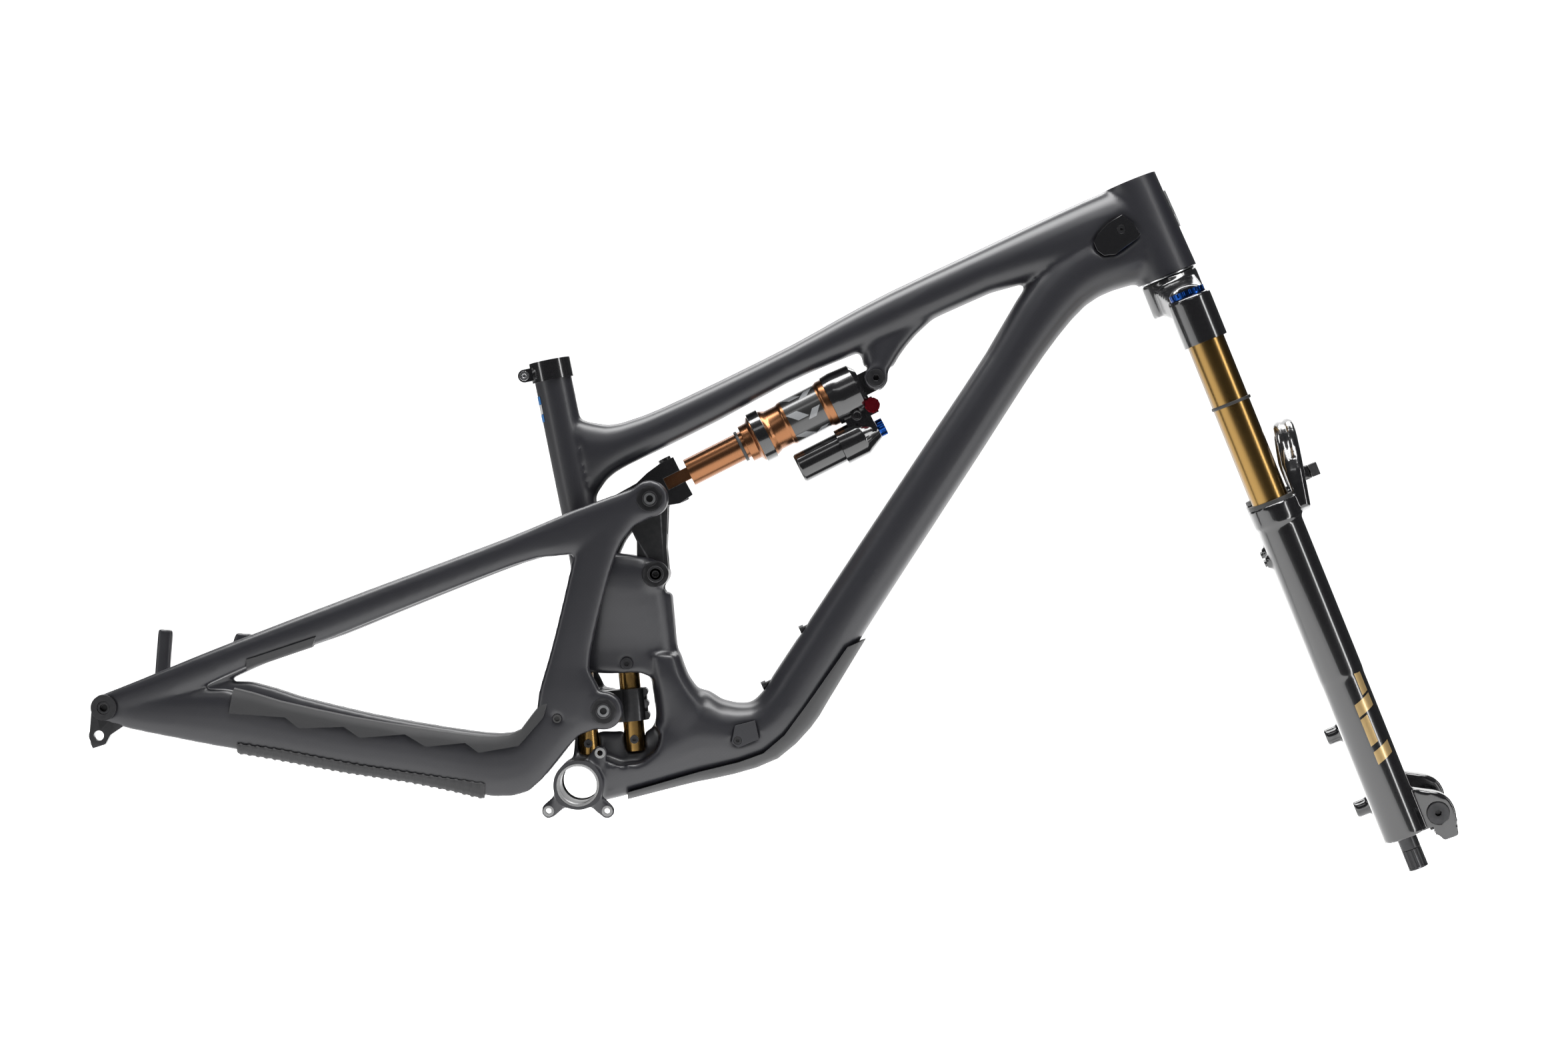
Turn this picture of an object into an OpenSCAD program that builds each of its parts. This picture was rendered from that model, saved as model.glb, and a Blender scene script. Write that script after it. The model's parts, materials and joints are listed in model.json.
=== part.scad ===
// Full-suspension mountain bike frame with its rear shock and suspension fork.
// +X points forward, +Y to the rider's left, +Z up. The origin is the centre of
// the bottom bracket shell. The drive side is the -Y side. Millimetres.

/* [Frame geometry] */
// Seat angle from the ground, degrees
seat_angle = 74; // [73:0.5:75]
// Head angle from the ground, degrees
head_angle = 63.5; // [63:0.5:64]
// Length of the head tube
head_tube_len = 94; // [90:1:100]
// Width of the bottom bracket shell
bb_width = 73; // [73:1:83]
// Inner diameter of the threaded bottom bracket sleeve
bb_thread_d = 34.8; // [34.4:0.1:35]
// Bore of the seat tube
seat_bore_d = 31.6; // [30.9:0.1:31.6]
// Width between the rear dropouts
rear_hub_width = 148; // [148:1:150]

/* [Rear suspension] */
// Eye-to-eye length of the shock
shock_len = 210; // [208:1:211]
// Diameter of the shock shaft
shock_shaft_d = 26.2; // [24:0.2:27]
// Outer diameter of the shock air can
air_can_d = 42; // [40:1:44]
// Diameter of the two slide rails
rail_d = 19.5; // [18:0.5:20]
// Extra radius in each open pivot of the linkage
open_pivot_play = 3.2; // [3.1:0.1:3.5]

/* [Fork] */
// Diameter of a stanchion
stanchion_d = 34; // [32:1:36]
// Distance between the stanchion centres
stanchion_spacing = 134; // [134:1:136]
// Width between the fork dropouts
front_hub_width = 110; // [108:1:110]
// Axle offset in front of the steering axis
fork_offset = 44; // [42:1:46]
// Angle that the fork is turned to the right at rest, degrees
steer_rest = 7; // [0:1:10]

/* [Hidden] */
$fn = 48;
run_gap = 0.05;      // radial running clearance of shafts and slides
side_gap = 0.4;      // gap between neighbouring moving faces
lip = 0.01;          // overshoot of a cutting solid

carbon = "#2e2e31";
gloss_black = "#141416";
bronze = "#a8672f";
gold = "#b98d42";
steel = "#b9babd";
rubber = "#1d1d1e";
blue = "#2457a6";
red = "#c8143c";

// Pivots of the rear suspension in the side view, [x, z]
link_pivot = [56, 199.5];        // link on the front triangle
arm_pivot = [45.8, 268.3];       // swingarm on the link
main_pivot = [18.8, 70.8];       // swingarm on the slide carrier
shock_front = [244.6, 396.4];    // shock on the top tube
rear_axle_at = [-431, 40.5];
hanger_at = [-434.5, 14.5];
shock_tilt = 31.27;              // rise of the shock towards the front
rail_tilt = 9.7;                 // lean of the rails
yoke_len = 57.5;                 // yoke bolt to yoke pivot
rail_pitch = 43;                 // distance between the rails
iscg_r = 36;
iscg_angles = [60, -37, 226];

// Widths across the rear suspension, all half-widths from the mid-plane
yoke_half = 11;
link_in = 11.5;
link_out = 22;
ear_in = 22.6;
ear_out = 34;
arm_out = 49;
carrier_half = 25;
pivot_shaft_r = 7.5;
pivot_bearing_r = 12;
arm_pin_r = 7;
yoke_pin_r = 5;

head_base = [508.3, 513.8];      // lower end of the head tube on the steering axis
fork_len = 546.7;                // head tube to front axle along the steering axis
leg_offset = 9.5;                // fork legs in front of the steering axis
crown_top = 27;
crown_low = 70.5;
lowers_top = 226.7;
lowers_low = 557;
lowers_d = 41;

// ---- Places ----

module at(p, y = 0) { translate([p[0], y, p[1]]) children(); }
// A shaft or hole along Y through the point p
module pin_y(p, r, y0, y1) {
    at(p) rotate([90, 0, 0]) translate([0, 0, -y1]) cylinder(r = r, h = y1 - y0);
}
// The same on both sides of the mid-plane
module pins_y(p, r, y0, y1) {
    pin_y(p, r, y0, y1);
    pin_y(p, r, -y1, -y0);
}
// A plate in the side view, from y0 to y1
module plate(y0, y1) {
    rotate([90, 0, 0]) translate([0, 0, -y1]) linear_extrude(height = y1 - y0) children();
}
module plate_pair(y0, y1) {
    plate(y0, y1) children();
    plate(-y1, -y0) children();
}
module both_sides() {
    children();
    mirror([0, 1, 0]) children();
}
// Shock frame: X along the shock towards the front, origin at the yoke bolt
module at_shock() {
    at(shock_front) rotate([0, -shock_tilt, 0]) translate([-shock_len + 0.8, 0, 0]) children();
}
// Turned shape about the shock axis, profile of [radius, station]
module turned_x(profile) {
    rotate([0, 90, 0]) rotate_extrude($fn = 64) polygon(profile);
}
module at_head() { at(head_base) rotate([0, head_angle - 90, 0]) children(); }
// Fork frame: Z up along the steering axis, X forward, turned with the fork
module at_fork() { at_head() rotate([0, 0, -steer_rest]) children(); }
module at_leg(side) {
    at_fork() translate([leg_offset, side * stanchion_spacing / 2, 0]) children();
}
module at_legs() { for (side = [-1, 1]) at_leg(side) children(); }
// Seat tube frame: Z up the tube, origin at the top of the tube
module at_seat() { at([-59, 388]) rotate([0, seat_angle - 90, 0]) children(); }
// Rail frame: Z up the rail, origin at the lower bolt of the front rail
module at_rail(i) {
    at([47.7, 44.6]) rotate([0, -rail_tilt, 0]) translate([-rail_pitch * i, 0, 0]) children();
}
shock_rear = [for (k = [0, 1])
    shock_front[k] - (shock_len - 0.8) * (k == 0 ? cos(shock_tilt) : sin(shock_tilt))];
yoke_pivot = [for (k = [0, 1]) shock_rear[k] - yoke_len * (k == 0 ? cos(shock_tilt) : sin(shock_tilt))];

// ---- Swept tubes ----
// A station is [upper x, upper z, lower x, lower z, half-width, y of the centre].

function between(a, b, c, d, t) = 0.5 * (2 * b + (c - a) * t + (2 * a - 5 * b + 4 * c - d) * t * t
    + (3 * b - a - 3 * c + d) * t * t * t);
function smooth(s, n) = [
    for (i = [0 : len(s) - 2], k = [0 : n - 1])
        between(s[max(i - 1, 0)], s[i], s[i + 1], s[min(i + 2, len(s) - 1)], k / n),
    s[len(s) - 1]
];
function power(v, e) = sign(v) * pow(abs(v), 2 / e);
function middle(s) = [(s[0] + s[2]) / 2, s[5], (s[1] + s[3]) / 2];
function ring(s, sides, e) = [for (j = [0 : sides - 1])
    let (a = 360 * j / sides)
    middle(s) + power(cos(a), e) * [(s[0] - s[2]) / 2, 0, (s[1] - s[3]) / 2]
        + power(sin(a), e) * [0, s[4], 0]];
function wall(i, sides, flip) = [for (j = [0 : sides - 1])
    let (k = (j + 1) % sides, quad = [i * sides + j, i * sides + k, (i + 1) * sides + k, (i + 1) * sides + j])
    for (t = [[0, 1, 2], [0, 2, 3]]) flip ? [quad[t[0]], quad[t[2]], quad[t[1]]] : [for (m = t) quad[m]]];
function end_cap(first, sides, back) = [for (j = [1 : sides - 2])
    back ? [first, first + j + 1, first + j] : [first, first + j, first + j + 1]];
module tube(stations, e = 2.4, sides = 20, steps = 2) {
    s = smooth(stations, steps);
    n = len(s) - 1;
    across = cross([s[0][0] - s[0][2], 0, s[0][1] - s[0][3]], [0, 1, 0]);
    flip = across * (middle(s[1]) - middle(s[0])) > 0;
    polyhedron(
        points = [for (p = s) each ring(p, sides, e)],
        faces = [
            for (i = [0 : n - 1]) each wall(i, sides, flip),
            each end_cap(0, sides, !flip),
            each end_cap(n * sides, sides, flip)
        ]
    );
}
// The same tube with its lower edge and its sides moved out by d
function grown(stations, d) = [for (s = stations)
    let (lx = s[2] - s[0], lz = s[3] - s[1], l = sqrt(lx * lx + lz * lz))
    [s[0] - d * lx / l, s[1] - d * lz / l, s[2] + d * lx / l, s[3] + d * lz / l, s[4] + d, s[5]]];
// A slot shape in the side view: two round ends joined by a straight bar
module bar2d(a, b, r) {
    d = b - a;
    translate(a) circle(r);
    translate(b) circle(r);
    translate(a) rotate(atan2(d[1], d[0])) translate([0, -r]) square([norm(d), 2 * r]);
}

// ---- Front triangle ----

seat_tube_d = 35;
head_top_d = 50;
head_low_d = 57;
headset_depth = 8.5;
headset_top_d = 42;
headset_low_d = 52;
steerer_room_d = 41;
bb_shell_d = 46;
bb_sleeve_d = 40;
tab_y = [-34, -28];

top_tube = [
    [-30, 338, -8, 262, 17, 0], [0, 334, 3, 283, 17.5, 0], [24, 342, 20, 297, 17.5, 0],
    [48, 353.5, 50, 314.5, 18, 0], [100, 383, 104, 347, 19, 0], [165, 422, 163, 385.5, 20, 0],
    [207, 450, 205, 408, 21, 0], [252, 478.5, 262, 437, 22, 0], [321, 518, 345, 484, 24, 0],
    [398, 562, 418, 508, 25, 0], [449, 589.6, 462, 520, 25, 0], [480, 603.6, 497, 530, 22, 0]
];
down_tube = [
    [-8, 20, 2, -22, 30, 0], [20, 46, 34, -12, 33, 0], [60, 62, 72, 1, 33, 0], [100, 97, 108, 13, 32, 0],
    [126, 88, 142, 23, 31, 0], [151, 86.5, 180, 40, 31, 0], [163, 99, 207, 70, 31, 0],
    [173, 117, 221, 96, 30.5, 0], [207, 178.5, 252, 157.5, 29.5, 0], [242, 242, 284.5, 218.5, 28.5, 0],
    [306, 357.5, 347.5, 334.5, 27.5, 0], [345, 428, 385.5, 405.5, 27, 0], [370, 480, 410, 447, 27, 0],
    [395, 520, 434, 479, 27, 0], [430, 550, 458, 495, 27, 0], [478, 572, 486, 505, 25, 0]
];
mast = [
    [-29, 216, 62, 215, 30, 0], [-26, 205, 68, 205, 34, 0], [-22, 185, 72, 185, 34, 0],
    [-19, 152, 78, 150, 29, 0], [-19, 124, 82, 130, 26, 0], [-20, 103, 92, 106, 26, 0]
];
mast_front = [
    [54, 124, 84, 128, 30, 0], [58, 104, 93, 108, 32, 0], [63, 82, 106, 93, 32, 0],
    [66, 62, 118, 82, 32, 0], [58, 44, 126, 60, 32, 0]
];
shock_ear = [
    [214, 436, 300, 462, 16, 0], [228, 421, 279, 440, 18, 0], [233, 404, 265, 419, 19.5, 0],
    [234.5, 394, 257, 401, 20, 0]
];
port_cover = [
    [459, 564], [470, 557], [477.5, 547.5], [475, 543.5], [456, 527], [445.5, 525], [439, 529],
    [435, 536.5], [438.5, 545], [446.5, 555]
];
port_screw = [459.5, 550.5];
hatch = [[140, 66], [158, 72], [163, 55.5], [144.6, 46], [138, 50]];
hatch_screw = [143.5, 52.5];
bottle_at = [[166.5, 105], [197.5, 159.5]];
bottle_lean = 61;
bottle_face = 0.6;
cover_in = 20;
cover_out = 28.5;
hatch_out = 33.5;

module front_body() {
    difference() {
        union() {
            tube(top_tube);
            tube(down_tube);
            tube(mast, e = 3);
            tube(mast_front, e = 3);
            tube(shock_ear, e = 3);
        }
        // Side recesses beside the slide rails
        plate_pair(6.5, 60) polygon([[-40, 27], [0, 27], [24, 25], [37, 21], [57, 25], [69, 36], [73, 50],
            [66, 60], [-40, 60]]);
        // Window of the slide rails
        plate(-60, 60) polygon([[-40, 51], [-40, 103], [10, 103], [50, 107.5], [57, 103], [61, 92],
            [66, 64], [63, 56], [56, 51.5]]);
    }
    at_seat() translate([0, 0, -190]) cylinder(d = seat_tube_d, h = 190);
    at_head() cylinder(d1 = head_low_d, d2 = head_top_d, h = head_tube_len);
    pin_y([0, 0], bb_shell_d / 2, -bb_width / 2, bb_width / 2);
    plate(-6.5, 6.5) polygon([[-8, 10], [-8, 48], [56, 51.5], [63, 56], [72, 62], [80, 10]]);
    pin_y(shock_front, 11.5, -20, 20);
    for (a = iscg_angles) {
        hole = iscg_r * [cos(a), sin(a)];
        plate(tab_y[0], tab_y[1]) bar2d(hole / 2, hole, 7.5);
    }
}
module front_triangle() color(carbon) difference() {
    front_body();
    at_seat() translate([0, 0, -180]) cylinder(d = seat_bore_d, h = 181);
    at_seat() translate([-30, -0.75, -30]) cube([30, 1.5, 31]);
    at_head() {
        translate([0, 0, -lip]) cylinder(d = headset_low_d, h = headset_depth + lip);
        cylinder(d = steerer_room_d, h = head_tube_len + 20);
        translate([0, 0, head_tube_len - headset_depth]) cylinder(d = headset_top_d, h = headset_depth + 20);
    }
    pin_y([0, 0], bb_sleeve_d / 2, -50, 50);
    for (a = iscg_angles) pin_y(iscg_r * [cos(a), sin(a)], 5, tab_y[0] - lip, tab_y[1] + lip);
    // Slot, bore and bearing seats of the link pivot
    plate(-ear_in, ear_in) {
        at2(link_pivot) circle(16);
        polygon([[41, 193], [30, 230], [100, 230], [100, 183.5], [56, 183.5]]);
    }
    pin_y(link_pivot, pivot_shaft_r, -60, 60);
    pins_y(link_pivot, pivot_bearing_r, ear_in - lip, ear_in + 7);
    pins_y(link_pivot, 12.5, ear_out - 1.5, 60);
    // Slot and bore of the front shock mount
    at_shock() translate([shock_len - 24, -12.7, -34]) cube([40, 25.4, 48]);
    pin_y(shock_front, 5, -60, 60);
    for (i = [0, 1]) at_rail(i) {
        translate([0, 0, -11]) cylinder(d = rail_d, h = 88);
        translate([0, 50, 0]) rotate([90, 0, 0]) cylinder(r = 2.5, h = 100);
        translate([0, 50, 71.5]) rotate([90, 0, 0]) cylinder(r = 3, h = 100);
        for (side = [-1, 1]) translate([0, side * 33, 71.5]) rotate([90, 0, 0]) cylinder(r = 6, h = 14, center = true);
    }
    plate_pair(cover_in, 40) polygon(port_cover);
    pins_y(port_screw, 2, 12, 40);
    plate(-40, -27) polygon(hatch);
    pin_y(hatch_screw, 2, -40, -18);
    for (p = bottle_at) at(p) rotate([0, bottle_lean - 90, 0]) rotate([0, -90, 0]) {
        translate([0, 0, -9]) cylinder(r = 2.5, h = 20);
        translate([0, 0, bottle_face]) cylinder(r = 4.6, h = 12);
    }
}
module at2(p) { translate(p) children(); }
module bb_threaded_sleeve() color(steel) difference() {
    pin_y([0, 0], bb_sleeve_d / 2, -bb_width / 2, bb_width / 2);
    pin_y([0, 0], bb_thread_d / 2, -50, 50);
}
module iscg_inserts() color(steel) for (a = iscg_angles) difference() {
    pin_y(iscg_r * [cos(a), sin(a)], 5, tab_y[0] - 0.6, tab_y[1]);
    pin_y(iscg_r * [cos(a), sin(a)], 2.5, -50, 0);
}
clamp_bolt = [-25, -8.5];
module seat_clamp() color(gloss_black) at_seat() difference() {
    union() {
        translate([0, 0, -17]) cylinder(r = 19.4, h = 18.5);
        translate([clamp_bolt[0], 9, clamp_bolt[1]]) rotate([90, 0, 0]) cylinder(r = 6, h = 18);
        translate([clamp_bolt[0], -9, clamp_bolt[1] - 6]) cube([10, 18, 12]);
    }
    translate([0, 0, -30]) cylinder(r = seat_tube_d / 2 + 0.03, h = 30);
    translate([0, 0, -lip]) cylinder(d = seat_bore_d + 0.4, h = 5);
    translate([-40, -1, -30]) cube([40, 2, 40]);
    translate([clamp_bolt[0], 20, clamp_bolt[1]]) rotate([90, 0, 0]) cylinder(r = 2.5, h = 40);
}
module seat_clamp_bolt() color(steel) at_seat()
    translate([clamp_bolt[0], 12, clamp_bolt[1]]) rotate([90, 0, 0]) difference() {
        union() {
            cylinder(r = 2.5, h = 21);
            translate([0, 0, 21]) cylinder(r = 4.5, h = 3.5);
        }
        translate([0, 0, 22]) cylinder(r = 2, h = 5, $fn = 6);
    }
module headset_bearing(outer, inner, height) {
    difference() {
        cylinder(d = outer, h = height);
        translate([0, 0, -lip]) cylinder(d = inner, h = height + 1);
    }
}
module upper_headset_bearing() color(steel) at_head()
    translate([0, 0, head_tube_len - headset_depth]) headset_bearing(headset_top_d, 28.6 + 0.1, 7.5);
module lower_headset_bearing() color(steel) at_head()
    headset_bearing(headset_low_d, 40 + 0.1, headset_depth);
module slide_rails() color(gold) for (i = [0, 1]) at_rail(i) difference() {
    translate([0, 0, -11]) cylinder(d = rail_d, h = 88);
    translate([0, 50, 0]) rotate([90, 0, 0]) cylinder(r = 2.5, h = 100);
    translate([0, 50, 71.5]) rotate([90, 0, 0]) cylinder(r = 3, h = 100);
}
// A pair of screws that meet in the middle, with socket heads outside
module screw_pair(r, half, head_r, head_h, key) {
    for (side = [-1, 1]) rotate([side * 90, 0, 0]) difference() {
        union() {
            cylinder(r = r, h = half);
            translate([0, 0, half]) cylinder(r = head_r, h = head_h);
        }
        translate([0, 0, half + head_h - 2]) cylinder(r = key, h = 3, $fn = 6);
    }
}
module rail_bolts() color(steel) for (i = [0, 1]) at_rail(i) {
    screw_pair(2.5, rail_d / 2, 4, 2.5, 1.6);
    translate([0, 0, 71.5]) screw_pair(3, 26, 5.4, 3.5, 2.5);
}
module link_pivot_axle() color(gloss_black) at(link_pivot) {
    rotate([-90, 0, 0]) difference() {
        union() {
            translate([0, 0, -ear_out - 1.5]) cylinder(r = pivot_shaft_r - 0.03, h = 2 * ear_out + 3);
            for (side = [-1, 1]) translate([0, 0, side * (ear_out - 0.2)]) cylinder(r = 12, h = 2.6, center = true);
        }
        for (side = [-1, 1]) translate([0, 0, side * (ear_out + 1.5)]) cylinder(r = 3, h = 6, center = true, $fn = 6);
    }
}
module link_pivot_bearings() color(steel) difference() {
    pins_y(link_pivot, pivot_bearing_r, ear_in, ear_in + 7);
    pin_y(link_pivot, pivot_shaft_r, -60, 60);
}
module shock_mount_bolt() color(gloss_black) at(shock_front) rotate([-90, 0, 0]) difference() {
    union() {
        translate([0, 0, -23]) cylinder(r = 4.95, h = 46);
        translate([0, 0, -23.5]) cylinder(r = 8, h = 3.4);
        translate([0, 0, 20.1]) cylinder(r = 8, h = 3.4);
    }
    translate([0, 0, -24]) cylinder(r = 3, h = 5, $fn = 6);
}
module cable_port_covers() color(gloss_black) difference() {
    plate_pair(cover_in, cover_out) polygon(port_cover);
    pins_y(port_screw, 2, 0, 40);
    pins_y(port_screw, 3.8, cover_out - 3, 40);
}
module cover_screw(p, y0, y1) {
    side = sign(y1);
    at(p, 0) rotate([-90 * side, 0, 0]) difference() {
        union() {
            translate([0, 0, abs(y0)]) cylinder(r = 1.95, h = abs(y1) - abs(y0) - 2.5);
            translate([0, 0, abs(y1) - 3]) cylinder(r = 3.7, h = 2.5);
        }
        translate([0, 0, abs(y1) - 2]) cylinder(r = 1.6, h = 3, $fn = 6);
    }
}
module cover_screws() color(steel) {
    for (side = [-1, 1]) cover_screw(port_screw, side * 13, side * cover_out);
    cover_screw(hatch_screw, -19, -hatch_out);
}
module access_cover() color(carbon) difference() {
    plate(-hatch_out, -27) polygon(hatch);
    pin_y(hatch_screw, 2, -40, -18);
    pin_y(hatch_screw, 3.8, -40, -hatch_out + 3);
}
module down_tube_guard() color(rubber) difference() {
    intersection() {
        tube(grown(down_tube, 4));
        plate(-40, 40) polygon([[46, -20], [46, -4], [110, 20], [146, 32], [168, 42], [186, 60], [206, 92],
            [238, 146], [262, 158], [262, 20], [200, -20]]);
    }
    tube(grown(down_tube, 0.02));
}
module bottle_bolts() color(gloss_black) for (p = bottle_at)
    at(p) rotate([0, bottle_lean - 90, 0]) rotate([0, -90, 0]) {
        difference() {
            union() {
                translate([0, 0, -9]) cylinder(r = 2.5, h = 10);
                translate([0, 0, bottle_face]) cylinder(r = 4.2, h = 4.5);
            }
            translate([0, 0, 3]) cylinder(r = 2, h = 4, $fn = 6);
        }
    }
module head_badge() color(steel) at_head() difference() {
    intersection() {
        cylinder(d1 = head_low_d + 3, d2 = head_top_d + 3, h = head_tube_len);
        rotate([90, 0, 90]) linear_extrude(height = 40)
            polygon([[-10, 74], [10, 74], [9, 50], [0, 38], [-9, 50]]);
    }
    cylinder(d1 = head_low_d, d2 = head_top_d, h = head_tube_len);
}

// ---- Slide carrier ----

carrier_low = 17;
carrier_high = 47;
module slide_carrier() color(gloss_black) difference() {
    union() {
        for (i = [0, 1]) at_rail(i) translate([0, 0, carrier_low]) cylinder(r = 15, h = carrier_high - carrier_low);
        at_rail(0) translate([-rail_pitch, -13, carrier_low]) cube([rail_pitch, 26, carrier_high - carrier_low]);
        for (k = [0 : 2]) at_rail(0) translate([12.5, -9, carrier_low + 4 + 11 * k])
            rotate([-90, 0, 0]) cylinder(r = 4, h = 18);
        pin_y(main_pivot, 12, -carrier_half, carrier_half);
    }
    for (i = [0, 1]) at_rail(i) cylinder(r = 12, h = 80);
    pin_y(main_pivot, pivot_shaft_r, -60, 60);
}
module carrier_bushings() color("#8d8a80") for (i = [0, 1], z = [carrier_low, carrier_high - 10])
    difference() {
        at_rail(i) translate([0, 0, z]) difference() {
            cylinder(r = 12, h = 10);
            translate([0, 0, -lip]) cylinder(r = rail_d / 2 + run_gap, h = 11);
        }
        pin_y(main_pivot, pivot_shaft_r, -60, 60);
    }
module main_pivot_axle() color(steel) difference() {
    pin_y(main_pivot, pivot_shaft_r, -arm_out + 3, arm_out - 3);
    pins_y(main_pivot, 4, arm_out - 10, 60);
}

// ---- Swingarm ----

seatstay = [
    [46, 285, 50, 252, 6, 43], [17, 271.5, 24, 236, 6, 43], [-23, 253, -14, 213, 6.5, 43],
    [-62, 232.5, -52, 206, 7.5, 42.5], [-104, 212, -97, 186.5, 9, 43.5], [-195.6, 169, -188, 141.5, 10, 54],
    [-246, 145, -238, 116.5, 10.5, 62], [-304, 117, -297, 91, 10.5, 70], [-351, 94, -343, 66, 9.5, 75.5],
    [-402, 68, -396, 40, 7, 79], [-431, 54, -431, 28, 5.5, 79.5]
];
chainstay = [
    [24, 87, 22, 55, 6, 43], [-10, 84, -2, 46, 6, 43], [-38, 72, -22, 18, 7, 43], [-55, 46, -44, -9, 8, 43],
    [-78, 38, -76, -16, 9, 43], [-110, 38, -112, -11, 9.5, 44], [-154, 41, -156, -5, 10, 49],
    [-207, 46, -210, -0.5, 10, 57], [-274, 56, -276, 7.5, 10, 67], [-323, 66, -326, 12.5, 9.5, 73.5],
    [-371, 60, -371, 18, 8, 78], [-410, 54, -410, 23, 6, 79.5], [-431, 53, -431, 28, 5.5, 79.5]
];
upright = [
    [-43, 60, 8, 62, 6.5, 43], [-42, 84, 14, 90, 6.5, 43], [-37, 108, 3, 108, 6, 43],
    [-31, 140, 5, 140, 6, 43], [-24, 185, 12.5, 185, 6, 43], [-21, 205, 17, 206, 6, 43],
    [-18, 225, 24, 228, 6, 43], [-15, 245, 40, 250, 6, 43]
];
brake_posts = [[-408, 108.5], [-333.8, 111]];
brake_y = 71;
hanger_in = rear_hub_width / 2;
hanger_out = hanger_in + 7;
dropout_out = hanger_in + 11;
hanger_collar_r = 8.5;
module hanger_outline() {
    at2(rear_axle_at) circle(12);
    at2(hanger_at) circle(9);
    polygon([[-443, 38], [-443, 14], [-441, 6], [-439, 2.5], [-428, 7], [-424, 16], [-414, 24], [-420, 34]]);
}
// Bar that joins the two lower stays behind the shell
module stay_bridge(clear) { plate(-40, 40) bar2d([-47, 4], [-50, 34], 8.5 + clear); }
module swingarm() color(carbon) difference() {
    union() {
        both_sides() {
            tube(seatstay, e = 2.8);
            tube(chainstay, e = 2.8);
            tube(upright, e = 3.2);
            pin_y(main_pivot, 17.5, carrier_half + side_gap, arm_out);
            pin_y(arm_pivot, 17, ear_in, arm_out);
            pin_y(rear_axle_at, 12.5, hanger_in, dropout_out);
        }
        stay_bridge(0);
        plate(brake_y - 5, brake_y + 5) polygon([[-415, 108.5], [-415, 50], [-330, 85], [-326, 111],
            [-341, 111], [-345, 95], [-352, 88], [-396, 64], [-401, 70], [-401, 108.5]]);
    }
    pins_y(main_pivot, pivot_bearing_r, arm_out - 14, arm_out + 1);
    pins_y(main_pivot, 7.7, 0, arm_out + 1);
    pins_y(arm_pivot, pivot_bearing_r, arm_out - 14, arm_out + 1);
    pins_y(arm_pivot, arm_pin_r, 0, arm_out + 1);
    pin_y(rear_axle_at, 6, -120, 120);
    pins_y(rear_axle_at, 13, dropout_out, dropout_out + 9);
    pin_y(rear_axle_at, hanger_collar_r, -dropout_out - 1, -hanger_in);
    plate(-hanger_out, -hanger_in + 2) hanger_outline();
    plate_pair(0, hanger_in) at2(rear_axle_at) circle(24);
    for (p = brake_posts) at(p, brake_y) translate([0, 0, -20]) cylinder(r = 2.5, h = 21);
    both_sides() pin_y([-23, 60.5], 4, arm_out - 3, arm_out + 1);
}
module swingarm_bearings() color(steel) {
    difference() {
        pins_y(main_pivot, pivot_bearing_r, arm_out - 14, arm_out - 4);
        pin_y(main_pivot, pivot_shaft_r + run_gap, -60, 60);
    }
    difference() {
        pins_y(arm_pivot, pivot_bearing_r, arm_out - 14, arm_out - 4);
        pin_y(arm_pivot, arm_pin_r, -60, 60);
    }
}
module upper_pivot_pins() color(steel) pins_y(arm_pivot, arm_pin_r, link_in + 0.6, arm_out - 4);
module pivot_caps() color(gloss_black) for (p = [main_pivot, arm_pivot]) difference() {
    union() {
        pins_y(p, pivot_bearing_r, arm_out - 2.9, arm_out + 0.6);
        pins_y(p, 7, arm_out + 0.6, arm_out + 1.8);
    }
    pins_y(p, 3.5, arm_out - 1, arm_out + 3);
}
module derailleur_hanger() color(gloss_black) difference() {
    union() {
        plate(-hanger_out, -hanger_in) hanger_outline();
        pin_y(rear_axle_at, hanger_collar_r, -dropout_out, -hanger_out);
        pin_y(rear_axle_at, 11.6, -dropout_out - 3, -dropout_out);
    }
    pin_y(rear_axle_at, 6, -120, 0);
    pin_y(hanger_at, 4.6, -120, 0);
}
module rear_axle() color(steel) difference() {
    union() {
        pin_y(rear_axle_at, 6, -dropout_out - 2, dropout_out + 3);
        pin_y(rear_axle_at, 9, dropout_out, dropout_out + 5);
    }
    pin_y(rear_axle_at, 3.4, dropout_out - 4, dropout_out + 6);
    pin_y(rear_axle_at, 3.4, -dropout_out - 3, -dropout_out + 4);
}
// A thin skin over a stay, kept inside an outline in the side view
module stay_skin(stay, thick) {
    difference() {
        intersection() {
            tube(grown(stay, thick), e = 2.8);
            plate(30, 100) children();
        }
        tube(grown(stay, 0.02), e = 2.8);
        tube(grown(seatstay, 0.02), e = 2.8);
    }
}
module chainstay_guard() color(rubber) mirror([0, 1, 0]) difference() {
    stay_skin(chainstay, 2.4)
        polygon([[-41, 90], [-30, 88], [-36, 60], [-56, 33], [-92, 24], [-105, 32], [-140, 26], [-160, 36],
            [-200, 30], [-215, 39], [-255, 35], [-268, 44], [-318, 44], [-316, 70], [-290, 75], [-60, 70]]);
    tube(grown(upright, 0.02), e = 3.2);
    stay_bridge(0.02);
}
module seatstay_guard() color(rubber) mirror([0, 1, 0])
    difference() {
        intersection() {
            tube(grown(seatstay, 2.4), e = 2.8);
            plate(30, 100) polygon([[-246, 119], [-250, 108], [-306, 82], [-306, 94], [-298, 97]]);
        }
        tube(grown(seatstay, 0.02), e = 2.8);
    }
module lower_stay_guard() color(rubber) mirror([0, 1, 0])
    stay_skin(chainstay, 3.2)
        polygon([[-84, -4], [-84, -24], [-120, -24], [-309, 0], [-309, 17], [-270, 14], [-200, 5], [-140, 0]]);
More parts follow.
